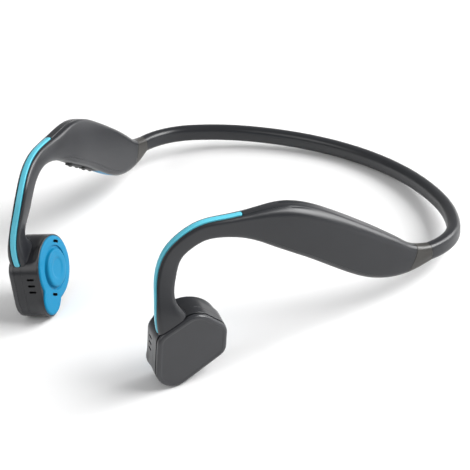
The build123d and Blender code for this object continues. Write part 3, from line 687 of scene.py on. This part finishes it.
def pod_cavity():
    """The hollow of the pod: its cross-sections less the wall, down to a flat floor."""
    places = np.linspace(marks[1] + CAVITY_START, marks[ARM_FIRST - 1], CAVITY_RINGS)
    rings = body_rings(places, POD_WALL, grooved=False)
    depth = (rings - pod_middle) @ pod_down
    rings = rings - np.maximum(depth - POD_FLOOR, 0)[..., None] * pod_down
    return solid("cavity", rings)


cut(left_hook, pod_cavity())


def base_tool(gap):
    """The space of the pod's base: a lens along the pod's lower edge."""
    places = np.linspace(marks[1] + BASE_SHIFT, marks[ARM_FIRST - 1] + BASE_SHIFT, BASE_RINGS)
    rings = []
    for place, values in zip(places, smooth_through(marks, frames, places)):
        centre, side, down = values[:3], unit(values[3:6]), unit(values[6:9])
        share = (place - places[0]) / (places[-1] - places[0])
        depth = BASE_DEPTH * min(1.0, BASE_TAPER * math.sin(math.pi * share)) + gap
        top, low = values[9] / 2 - depth, values[9] / 2 + BASE_BELOW
        rings.append([centre + side * x + down * y
                      for x, y in ((BASE_REACH, top), (BASE_REACH, low),
                                   (-BASE_REACH, low), (-BASE_REACH, top))])
    return solid("base_space", rings)


cut(left_hook, base_tool(BASE_GAP))
left_hook.name = "left_ear_hook_shell"
smooth(left_hook)
put_on_sides(left_hook, mirrored(left_hook, "right_ear_hook_shell"),
             "ear_hook")

# ---------------------------------------------------------------- pod bases
# The lower closure of each pod, in the same rubber-coated nylon, welded in along a fine line
# near the lower edge. The right-hand one has two button slots and the recess of the port cover.
KEY_SPOTS = [(-14.7, -0.45), (-4.3, -0.1)]
KEY_LENGTH, KEY_WIDTH = 9.2, 2.6
KEY_CLEARANCE = 0.2
KEY_FLANGE = 0.5
COVER_SPAN = (1.6, 16.0)
COVER_WIDTH = 3.9
COVER_SEAT = 6.9
COVER_CLEARANCE = 0.2
COVER_OFFSET = -0.15
COVER_CORNER = 0.6
SOCKET_OPENING = (9.34, 3.56)
SOCKET_ROUNDING = 1.3
POD_SPLIT = 4.2
SLOT_STEPS = 8            # per rounded corner of a slot
DEEP = 16                 # beyond the pod's lower side


def pod_point(x, y, z):
    return pod_middle + pod_rear * x + pod_out * y + pod_down * z


def slot_ring(x, y, z, length, width, rounding):
    """A rounded rectangle in the pod's plane."""
    ring = []
    for quarter, (along, across) in enumerate(((1, 1), (-1, 1), (-1, -1), (1, -1))):
        for step in range(SLOT_STEPS + 1):
            angle = math.pi / 2 * (quarter + step / SLOT_STEPS)
            ring.append(pod_point(
                x + along * (length / 2 - rounding) + rounding * math.cos(angle),
                y + across * (width / 2 - rounding) + rounding * math.sin(angle), z))
    return ring


def slot_tool(x, y, low, high, length, width, rounding):
    return solid("slot", [slot_ring(x, y, low, length, width, rounding),
                          slot_ring(x, y, high, length, width, rounding)])


def pod_base(name):
    """The part of the side body inside the base's space, hollow like the rest of the pod."""
    base = solid(name, body_rings(sampled[::SKIN_EVERY], grooved=False))
    cut(base, base_tool(0), "INTERSECT")
    return cut(base, pod_cavity())


left_base = smooth(pod_base("left_pod_floor"))
right_base = pod_base("base_for_right")
key_room = KEY_LENGTH + 2 * KEY_CLEARANCE, KEY_WIDTH + 2 * KEY_CLEARANCE
cover_middle = sum(COVER_SPAN) / 2
tools = [slot_tool(x, y, POD_SPLIT, DEEP, *key_room, key_room[1] / 2 - 0.001) for x, y in KEY_SPOTS]
tools.append(slot_tool(cover_middle, COVER_OFFSET, COVER_SEAT, DEEP,
                       COVER_SPAN[1] - COVER_SPAN[0] + 2 * COVER_CLEARANCE,
                       COVER_WIDTH + 2 * COVER_CLEARANCE, COVER_CORNER))
cut(right_base, joined(*tools))
cut(right_base, slot_tool(cover_middle, COVER_OFFSET, POD_SPLIT, DEEP, *SOCKET_OPENING,
                          SOCKET_ROUNDING))
flange_room = key_room[0] + 2 * KEY_FLANGE, key_room[1] + 2 * KEY_FLANGE
for x, y in KEY_SPOTS:
    cut(right_base, slot_tool(x, y, POD_SPLIT, POD_FLOOR, *flange_room, flange_room[1] / 2 - 0.001))
right_floor = mirrored(right_base, "right_pod_floor")
bpy.data.objects.remove(right_base)
smooth(right_floor)
put_on_sides(left_base, right_floor, "pod_base")

# ---------------------------------------------------------------- collars
# A hard nylon sleeve on each side, moulded over the end of the neckband and glued into the pod.
# Its front seam slants back and its rear one is square to the band.
collar_plastic = moulded("collar_plastic", (0.026, 0.024, 0.021), 0.34, relief=0.2,
                          specular=0.6)
collar_ring_count = 16
front_ring = seam_places - EDGE_ROUNDING
collar_rings = [shrunk(warped_ring(seam_places), EDGE_ROUNDING)]
for step in range(collar_ring_count + 1):
    share = step / collar_ring_count
    collar_rings.append(warped_ring(front_ring * (1 - share) + EDGE_ROUNDING * share))
collar_rings.append(shrunk(warped_ring(np.zeros(len(seam_places))), EDGE_ROUNDING))
left_collar = smooth(solid("left_collar_sleeve", collar_rings, collar_plastic))
put_on_sides(left_collar, mirrored(left_collar, "right_collar_sleeve"), "collar")

# ---------------------------------------------------------------- accent strips
# A bright blue silicone strip bonded into the groove on the front of each arm, from above the
# earpiece to the front of the pod. Its top is slightly crowned and its ends are rounded.
STRIP_HALF_WIDTH = 0.96
STRIP_PROUD = 0.16
STRIP_SINK = 0.96
STRIP_END = 0.7
STRIP_STEPS = 120
strip_silicone = moulded("strip_silicone", (0.10, 0.52, 0.66), 0.36, 7000, 0.15, mottle=0.04)


def strip_rings():
    first, last = strip_start + 0.1, strip_end - 0.1
    places = np.unique(np.concatenate((
        np.linspace(first, last, STRIP_STEPS),
        first + STRIP_END * np.array((0.05, 0.15, 0.3, 0.5, 0.75)),
        last - STRIP_END * np.array((0.05, 0.15, 0.3, 0.5, 0.75)),
    )))
    rings = []
    for place, values in zip(places, smooth_through(marks, frames, places)):
        centre, side, down = values[:3], unit(values[3:6]), unit(values[6:9])
        from_end = min(1.0, min(place - first, last - place) / STRIP_END)
        tight = math.sqrt(max(0.0, 1 - (1 - from_end) ** 2))
        width = STRIP_HALF_WIDTH * (0.55 + 0.45 * tight)
        front = ARM_FRONT_ROUNDING * values[10]
        ring = []
        for share, lift in ((-1, -0.9), (-1, -0.3), (-0.97, -0.1), (-0.88, 0.0), (-0.6, 0.04),
                            (-0.3, 0.06), (0, 0.07), (0.3, 0.06), (0.6, 0.04), (0.88, 0.0),
                            (0.97, -0.1), (1, -0.3), (1, -0.9)):
            x = share * width
            over = max(0.0, abs(x) - (values[10] / 2 - front))
            fall = front - math.sqrt(front * front - over * over)
            up = STRIP_PROUD * (0.3 + 0.7 * tight) + lift
            if lift == -0.9:
                up = -STRIP_SINK
            ring.append(centre + side * x + down * (-values[9] / 2 + fall - up))
        rings.append(ring)
    return rings


left_strip = smooth(solid("left_arm_strip", strip_rings(), strip_silicone), 50)
put_on_sides(left_strip, mirrored(left_strip, "right_arm_strip"), "accent_strip")

# ---------------------------------------------------------------- driver cups
# The inner half of each earpiece, a moulded nylon cup for the bone conduction driver, clipped to
# the ear hook's rim. It runs on inwards to a lip round the face pad, and three vents open through
# its front wall.
PAD_FACE, PAD_BACK = -5.65, -4.05
CUP_INSIDE = PAD_BACK + 1.0
CUP_EDGE = 0.3
CUP_LIP = 0.45            # width of the lip round the pad
LIP_TOP = -5.1
NECK_TOP = -2.2           # from here the cup narrows to the pad's outline
DRIVER_CENTRE = (0.3, 3.1)
DRIVER_OPENING = 6.9
PAD_RADIUS = 10.6
LOBE_CENTRE = (-5.0, -5.3)
LOBE_RADIUS = 5.7
WAIST_SOFTNESS = 1.2
VENT_LENGTH, VENT_WIDTH = 2.6, 0.75
VENT_PITCH = 2.15
VENT_CENTRE = (1.15, -1.9)
VENT_DEPTH = 2.2
# The vents' walls are painted near-black: painted shade for the dark inside the holes.
vent_painted_shade = moulded("vent_painted_shade", (0.004, 0.004, 0.004), 0.9, 5000, 0.6)


def pad_outline(angle):
    """Distance from the driver's axis to the pad's edge: a circle with a lobe run into it."""
    way = np.array((math.cos(angle), math.sin(angle)))
    lobe = np.array(LOBE_CENTRE) - np.array(DRIVER_CENTRE)
    along = way.dot(lobe)
    inside = LOBE_RADIUS**2 - (lobe.dot(lobe) - along**2)
    far = along + math.sqrt(inside) if inside > 0 and along > 0 else 0.0
    return math.log(math.exp(PAD_RADIUS / WAIST_SOFTNESS * 4)
                    + math.exp(far / WAIST_SOFTNESS * 4)) * WAIST_SOFTNESS / 4


def about_driver(ring, z, radius=None, grow=0.0, front=False):
    """A circle, or the face pad's outline, with points that face those of a ring.

    With front, the cup's straight front wall runs on to the pad instead of hugging it.
    """
    middle = earpiece_point(*DRIVER_CENTRE, 0)
    turned = []
    for point in ring:
        away = point - middle
        angle = math.atan2(away.dot(earpiece_up), away.dot(earpiece_rear))
        reach = pad_outline(angle) + grow if radius is None else radius
        if front:
            beyond = np.linalg.norm(away - earpiece_out * away.dot(earpiece_out)) - reach
            reach += max(0.0, beyond + grow - CUP_LIP) * (1 - ramp(math.cos(angle), -0.8, -0.3))
        turned.append(earpiece_point(DRIVER_CENTRE[0] + reach * math.cos(angle),
                                     DRIVER_CENTRE[1] + reach * math.sin(angle), z))
    return turned


face_ring = earpiece_ring(PAD_BACK, 0)
cup_rings = [earpiece_ring(CUP_TOP, EARPIECE_WALL), earpiece_ring(CUP_TOP, JOIN_ROUNDING),
             earpiece_ring(CUP_TOP - JOIN_ROUNDING, 0)]
cup_rings += [earpiece_ring(z, 0) for z in np.linspace(CUP_TOP - 0.5, NECK_TOP, 5)]
for share in np.linspace(0.1, 1.0, 10):
    z = NECK_TOP + (LIP_TOP + CUP_EDGE - NECK_TOP) * share
    blend = ramp(share, 0, 1)
    cup_rings.append(np.array(earpiece_ring(z, 0)) * (1 - blend)
                     + np.array(about_driver(face_ring, z, grow=CUP_LIP, front=True)) * blend)
cup_rings += [about_driver(face_ring, LIP_TOP + CUP_EDGE * down, grow=CUP_LIP - CUP_EDGE * inward,
                           front=True)
              for down, inward in rounded_edge(0.25, 0.5, 0.75, 1.0)]
cup_rings += [about_driver(face_ring, LIP_TOP, grow=0.06),
              about_driver(face_ring, PAD_BACK, grow=0.06),
              about_driver(face_ring, PAD_BACK, DRIVER_OPENING),
              about_driver(face_ring, CUP_INSIDE, DRIVER_OPENING),
              earpiece_ring(CUP_INSIDE, EARPIECE_WALL)]
left_cup = solid("left_earpiece_cup", cup_rings, loop=True)

# The vents repeat along a line, so a tree places one rounded slot at each of its points.
vent_tree, entry, real = new_tree("slots_on_a_line", {
    "Length": "Float", "Width": "Float", "Depth": "Float", "Count": "Int", "Pitch": "Float",
})
row, edge, corners, fill, deep, flip, both, weld, place = new_nodes(
    vent_tree, "MeshLine", "CurvePrimitiveQuadrilateral", "FilletCurve", "FillCurve",
    "ExtrudeMesh", "FlipFaces", "JoinGeometry", "MergeByDistance", "InstanceOnPoints",
)
row.mode, corners.mode, fill.mode = "OFFSET", "POLY", "NGONS"
corners.inputs["Count"].default_value = 6
weld.inputs["Distance"].default_value = 0.000001
spread, upwards = [vent_tree.nodes.new("ShaderNodeCombineXYZ") for _ in range(2)]
upwards.inputs["Z"].default_value = 1.0
half_width = vent_tree.nodes.new("ShaderNodeMath")
half_width.operation = "MULTIPLY"
half_width.inputs[1].default_value = 0.499
wired(vent_tree, (
    (entry, "Count", row, "Count"),
    (entry, "Pitch", spread, "Y"),
    (spread, "Vector", row, "Offset"),
    (entry, "Length", edge, "Width"),
    (entry, "Width", edge, "Height"),
    (edge, "Curve", corners, "Curve"),
    (entry, "Width", half_width, 0),
    (half_width, "Value", corners, "Radius"),
    (corners, "Curve", fill, "Curve"),
    (fill, "Mesh", deep, "Mesh"),
    (upwards, "Vector", deep, "Offset"),
    (entry, "Depth", deep, "Offset Scale"),
    (fill, "Mesh", flip, "Mesh"),
    (deep, "Mesh", both, "Geometry"),
    (flip, "Mesh", both, "Geometry"),
    (both, "Geometry", weld, "Geometry"),
    (row, "Mesh", place, "Points"),
    (weld, "Geometry", place, "Instance"),
    (place, "Instances", real, "Geometry"),
))


def closed(piece):
    """A grown shape with its doubles merged and its faces turned outwards."""
    shape = bmesh.new()
    shape.from_mesh(piece.data)
    bmesh.ops.remove_doubles(shape, verts=shape.verts, dist=1e-7)
    bmesh.ops.recalc_face_normals(shape, faces=shape.faces)
    shape.to_mesh(piece.data)
    shape.free()
    return piece


# In the tree a slot is long in x, the row runs in y and the slots deepen in z.
vents = closed(grown("vents", [(0, 0, 0)], [], vent_tree, {
    "Length": VENT_LENGTH * MM, "Width": VENT_WIDTH * MM, "Depth": 2 * VENT_DEPTH * MM, "Count": 3,
    "Pitch": VENT_PITCH * MM, "Material": vent_painted_shade,
}))
vent_start = earpiece_point(EARPIECE_CORNERS[0][0] - VENT_DEPTH / 2,
                            VENT_CENTRE[0] - VENT_PITCH, VENT_CENTRE[1])
turned = Matrix((earpiece_out, earpiece_up, earpiece_rear)).transposed().to_4x4()
vents.data.transform(Matrix.Translation(Vector(vent_start) * MM) @ turned)
closed(vents)
cut(left_cup, vents)
smooth(left_cup)
put_on_sides(left_cup, mirrored(left_cup, "right_earpiece_cup"),
             "driver_cup")

# ---------------------------------------------------------------- face pads
# A blue silicone pad over the face of each driver, which rests on the cheekbone. A raised disc
# with a dimple lies in a ring groove, and two curved slits beside it vent the driver.
PAD_ROUNDING = 0.7
# (radius, height above the pad's face) from the dimple out to the flat of the pad.
PAD_PROFILE = [(0.6, 0.62), (2.2, 0.62), (2.9, 0.62), (3.15, 0.66), (3.4, 0.80), (3.65, 0.88),
               (4.2, 0.90), (5.2, 0.90), (5.6, 0.88), (5.95, 0.76), (6.2, 0.55), (6.3, 0.2),
               (6.33, -0.3), (6.42, -0.45), (6.6, -0.5), (7.1, -0.5), (7.28, -0.45),
               (7.38, -0.3), (7.42, -0.08), (7.52, 0.0), (7.9, 0.02)]
SLIT_DISTANCE, SLIT_LENGTH, SLIT_WIDTH = 8.75, 3.3, 0.95
SLIT_LEAN = math.radians(25.0)
PAD_COUNT = 144
pad_silicone = moulded("pad_silicone", (0.002, 0.185, 0.35), 0.5, 6000, 0.25, mottle=0.05,
                       specular=0.2)
# The slits' walls and floors are painted near-black: painted shade for the dark inside the slits.
slit_painted_shade = moulded("slit_painted_shade", (0.003, 0.003, 0.004), 0.7, 5000, 0.3)


def pad_ring(z, inset=None, radius=None):
    ring = []
    for k in range(PAD_COUNT):
        angle = math.tau * k / PAD_COUNT
        reach = radius if inset is None else pad_outline(angle) - inset
        ring.append(earpiece_point(DRIVER_CENTRE[0] + reach * math.cos(angle),
                                   DRIVER_CENTRE[1] + reach * math.sin(angle), z))
    return ring


pad_rings = [pad_ring(PAD_FACE - high, radius=radius) for radius, high in PAD_PROFILE]
pad_rings.append(pad_ring(PAD_FACE, inset=PAD_ROUNDING + 1.0))
pad_rings += [pad_ring(PAD_FACE + PAD_ROUNDING * inward, inset=PAD_ROUNDING * down)
              for down, inward in rounded_edge(0.0, 0.2, 0.4, 0.6, 0.8, 1.0)]
pad_rings += [pad_ring(PAD_BACK - 0.12, inset=0.0), pad_ring(PAD_BACK - 0.02, inset=0.12),
              pad_ring(PAD_BACK, inset=0.3)]
left_pad = solid("left_cheek_pad", pad_rings, pad_silicone)


def slit_tool(lean):
    """A curved slot about the driver's axis, rounded at its ends."""
    spread = SLIT_LENGTH / SLIT_DISTANCE / 2
    outline = []
    for end, turn in ((1, -1), (-1, 1)):
        for step in range(9):
            swing = math.pi * (step / 8 - 0.5)
            along = end * SLIT_WIDTH / 2 * math.cos(swing)
            angle = lean + end * (spread - SLIT_WIDTH / 2 / SLIT_DISTANCE) + along / SLIT_DISTANCE
            radius = SLIT_DISTANCE - turn * SLIT_WIDTH / 2 * math.sin(swing)
            outline.append((angle, radius))
        for share in (0.2, 0.4, 0.6, 0.8):
            reach = spread - SLIT_WIDTH / 2 / SLIT_DISTANCE
            outline.append((lean + end * reach * (1 - 2 * share),
                            SLIT_DISTANCE - turn * SLIT_WIDTH / 2))
    return solid("slit", [
        [earpiece_point(DRIVER_CENTRE[0] + radius * math.cos(angle),
                        DRIVER_CENTRE[1] + radius * math.sin(angle), z)
         for angle, radius in outline]
        for z in (PAD_FACE - 1, PAD_BACK - 0.25)], slit_painted_shade)


cut(left_pad, joined(*[slit_tool(math.pi / 2 * way - SLIT_LEAN) for way in (1, -1)]))
smooth(left_pad)
put_on_sides(left_pad, mirrored(left_pad, "right_cheek_pad"), "face_pad")

# ---------------------------------------------------------------- outer plates
# The plate over the outside of each earpiece, with a rounded border round a very slightly sunk
# face. The left one is the multifunction button, on two guide posts and a stem over its switch.
PLATE_TOP = 5.9
PLATE_INSET = 0.1
PLATE_ROUNDING = 1.0
PLATE_SINK = 0.14
PLATE_CROWN = 0.12
BUTTON_UNDERSIDE = 4.4
GUIDE_END = 1.35
STEM_RADIUS, STEM_END = 2.0, 3.85
plate_plastic = moulded("plate_plastic", (0.024, 0.025, 0.029), 0.31, relief=0.12,
                         specular=0.62)


def outer_plate(name, underside, stem):
    """The plate with its posts, as shells of one mesh."""
    rings = [earpiece_ring(underside, 1.2), earpiece_ring(underside, PLATE_INSET + 0.1),
             earpiece_ring(underside + 0.1, PLATE_INSET),
             earpiece_ring(PLATE_TOP - PLATE_ROUNDING, PLATE_INSET)]
    rings += [earpiece_ring(PLATE_TOP - PLATE_ROUNDING * down,
                            PLATE_INSET + PLATE_ROUNDING * inward)
              for down, inward in rounded_edge(0.17, 0.34, 0.5, 0.67, 0.84, 1.0)]
    for inset, sink in ((1.2, 0.0), (1.35, 0.15), (1.5, 0.6), (1.65, 0.95), (1.8, 1.0)):
        rings.append(earpiece_ring(PLATE_TOP - PLATE_SINK * sink, inset))
    edge = np.array(rings[-1])
    heart = edge.mean(axis=0)
    for share in (0.12, 0.25, 0.4, 0.55, 0.7, 0.85, 0.97):
        lift = PLATE_CROWN * (1 - (1 - share) ** 2)
        rings.append(edge + (heart - edge) * share + earpiece_out * lift)
    plate = solid(name, rings, plate_plastic)
    posts = [(x, y, GUIDE_RADIUS, GUIDE_END) for x, y in GUIDE_SPOTS]
    if stem:
        posts.append((*DRIVER_CENTRE, STEM_RADIUS, STEM_END))
    return smooth(joined(plate, *[
        solid("post", [round_ring(x, y, end, radius - 0.1, 28),
                       round_ring(x, y, end + 0.1, radius, 28),
                       round_ring(x, y, underside + 0.2, radius, 28)], plate_plastic)
        for x, y, radius, end in posts]))


button = outer_plate("left_outer_button", BUTTON_UNDERSIDE, True)
fixed = outer_plate("plate_for_right", RIM_TOP, False)
right_plate = mirrored(fixed, "right_outer_cover")
bpy.data.objects.remove(fixed)
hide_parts("multifunction_button")
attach(button, "multifunction_button")
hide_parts("right_outer_plate")
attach(right_plate, "right_side")

# ---------------------------------------------------------------- volume buttons
# Two black rubber buttons in the right pod's base, each with two low bumps to find by touch.
# A flange inside the base keeps each one in, and it presses a side switch on the control board.
KEY_TOPS = [7.7, 7.95]
KEY_ROUNDING = 0.35
FLANGE_BACK, FLANGE_THICKNESS = 4.65, 0.7
BUMP_RADIUS, BUMP_RISE, BUMP_SPACING = 1.05, 0.42, 4.6
key_rubber = moulded("key_rubber", (0.012, 0.012, 0.013), 0.42, 5000, 0.3)

bump_tree, entry, real = new_tree("domes_on_points", {"Radius": "Float", "Rings": "Int"})
dome, place = new_nodes(bump_tree, "MeshUVSphere", "InstanceOnPoints")
dome.inputs["Segments"].default_value = 24
wired(bump_tree, (
    (entry, "Radius", dome, "Radius"),
    (entry, "Rings", dome, "Rings"),
    (entry, "Line", place, "Points"),
    (dome, "Mesh", place, "Instance"),
    (place, "Instances", real, "Geometry"),
))
for number, ((x, y), top) in enumerate(zip(KEY_SPOTS, KEY_TOPS)):
    name = ("volume_up_key", "volume_down_key")[number]
    body = ("volume_up_button", "volume_down_button")[number]
    rings = []
    for z, grow in ((FLANGE_BACK, 2 * KEY_FLANGE), (FLANGE_BACK + FLANGE_THICKNESS, 2 * KEY_FLANGE),
                    (FLANGE_BACK + FLANGE_THICKNESS + 0.01, 0), (top - KEY_ROUNDING, 0),
                    (top - 0.18, -0.12), (top - 0.06, -0.34), (top, -0.7), (top + 0.02, -1.6)):
        rings.append(slot_ring(x, y, z, KEY_LENGTH + grow, KEY_WIDTH + grow,
                               (KEY_WIDTH + grow) / 2 - 0.001))
    key = solid(name + "_left", rings, key_rubber)
    bump_points = [Vector(pod_point(x + shift, y, top - BUMP_RADIUS + BUMP_RISE)) * MM
                   for shift in (-BUMP_SPACING / 2, BUMP_SPACING / 2)]
    bumps = grown("bumps", bump_points, [], bump_tree,
                  {"Radius": BUMP_RADIUS * MM, "Rings": 12, "Material": key_rubber})
    cut(key, bumps, "UNION")
    piece = smooth(mirrored(key, name), 40)
    bpy.data.objects.remove(key)
    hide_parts(body)
    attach(piece, body)

# ---------------------------------------------------------------- port cover
# A blue flap over the charging socket, flush with the right pod's base. It swings on a small
# barrel at its front end, and a raised plug on its inside seals the socket's mouth.
HINGE_RADIUS = 0.45
PLUG_SIZE, PLUG_ROUNDING, PLUG_DEPTH = (7.64, 1.86), 0.65, 0.9
cover_blue = moulded("cover_blue", (0.008, 0.24, 0.46), 0.42, 6000, 0.2, mottle=0.05)
hinge_x, hinge_z = COVER_SPAN[0] + HINGE_RADIUS, COVER_SEAT + HINGE_RADIUS
cover = solid("cover_for_right", body_rings(sampled[::SKIN_EVERY], grooved=False), cover_blue)
flap = slot_tool((hinge_x + COVER_SPAN[1]) / 2, COVER_OFFSET, COVER_SEAT, DEEP,
                 COVER_SPAN[1] - hinge_x, COVER_WIDTH, 0.5)
flap.data.materials[0] = cover_blue
cut(cover, flap, "INTERSECT")
barrel = solid("barrel", [
    [pod_point(hinge_x + HINGE_RADIUS * math.cos(math.tau * k / 24), COVER_OFFSET + y,
               hinge_z + HINGE_RADIUS * math.sin(math.tau * k / 24)) for k in range(24)]
    for y in (-COVER_WIDTH / 2, COVER_WIDTH / 2)], cover_blue)
plug = solid("plug", [
    slot_ring(cover_middle, COVER_OFFSET, COVER_SEAT - PLUG_DEPTH, PLUG_SIZE[0] - 0.3,
              PLUG_SIZE[1] - 0.3, PLUG_ROUNDING - 0.15),
    slot_ring(cover_middle, COVER_OFFSET, COVER_SEAT - PLUG_DEPTH + 0.15, *PLUG_SIZE,
              PLUG_ROUNDING),
    slot_ring(cover_middle, COVER_OFFSET, COVER_SEAT + 0.1, *PLUG_SIZE, PLUG_ROUNDING),
], cover_blue)
cut(cover, barrel, "UNION")
cut(cover, plug, "UNION")
port_flap = smooth(mirrored(cover, "port_flap"))
bpy.data.objects.remove(cover)
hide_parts("port_cover")
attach(port_flap, "port_cover")

# ---------------------------------------------------------------- drivers, electronics and wiring
# The pieces inside the shells: the bone conduction drivers, the battery in the left pod, the
# control board with its chip, switches and charging socket in the right pod, and the arm wires.
steel = moulded("steel", (0.55, 0.55, 0.56), 0.28, 3000, 0.25, metal=1.0, stretch=(1, 1, 0.1))
nickel = moulded("nickel", (0.62, 0.60, 0.55), 0.18, 1500, 0.1, metal=1.0)
copper = moulded("copper", (0.72, 0.28, 0.12), 0.3, 9000, 0.6, metal=1.0, stretch=(0.2, 0.2, 1))
circuit_board = moulded("circuit_board", (0.008, 0.10, 0.035), 0.35, 1400, 0.5, mottle=0.35)
battery_foil = moulded("battery_foil", (0.55, 0.56, 0.58), 0.3, 700, 0.7, metal=1.0)
chip_black = moulded("chip_black", (0.012, 0.012, 0.013), 0.5, 6000, 0.4)
arm_insulation = moulded("arm_insulation", (0.02, 0.02, 0.022), 0.4, 4000, 0.15)
INNER_FINISHES = {
    "arm_wire": arm_insulation, "vibration_plate": steel, "voice_coil": copper,
    "suspension": steel, "magnet": nickel, "driver_yoke": steel,
}
finishes = {side + "_" + node: finish for node, finish in INNER_FINISHES.items()
            for side in ("left", "right")}
finishes.update({
    "button_board": circuit_board, "button_switch": steel, "battery": battery_foil,
    "microphone": steel, "control_board": circuit_board, "radio_chip": chip_black,
    "volume_switches": chip_black, "charging_socket": steel,
})
for node, finish in finishes.items():
    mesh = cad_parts[node].data
    mesh.materials.clear()
    mesh.materials.append(finish)
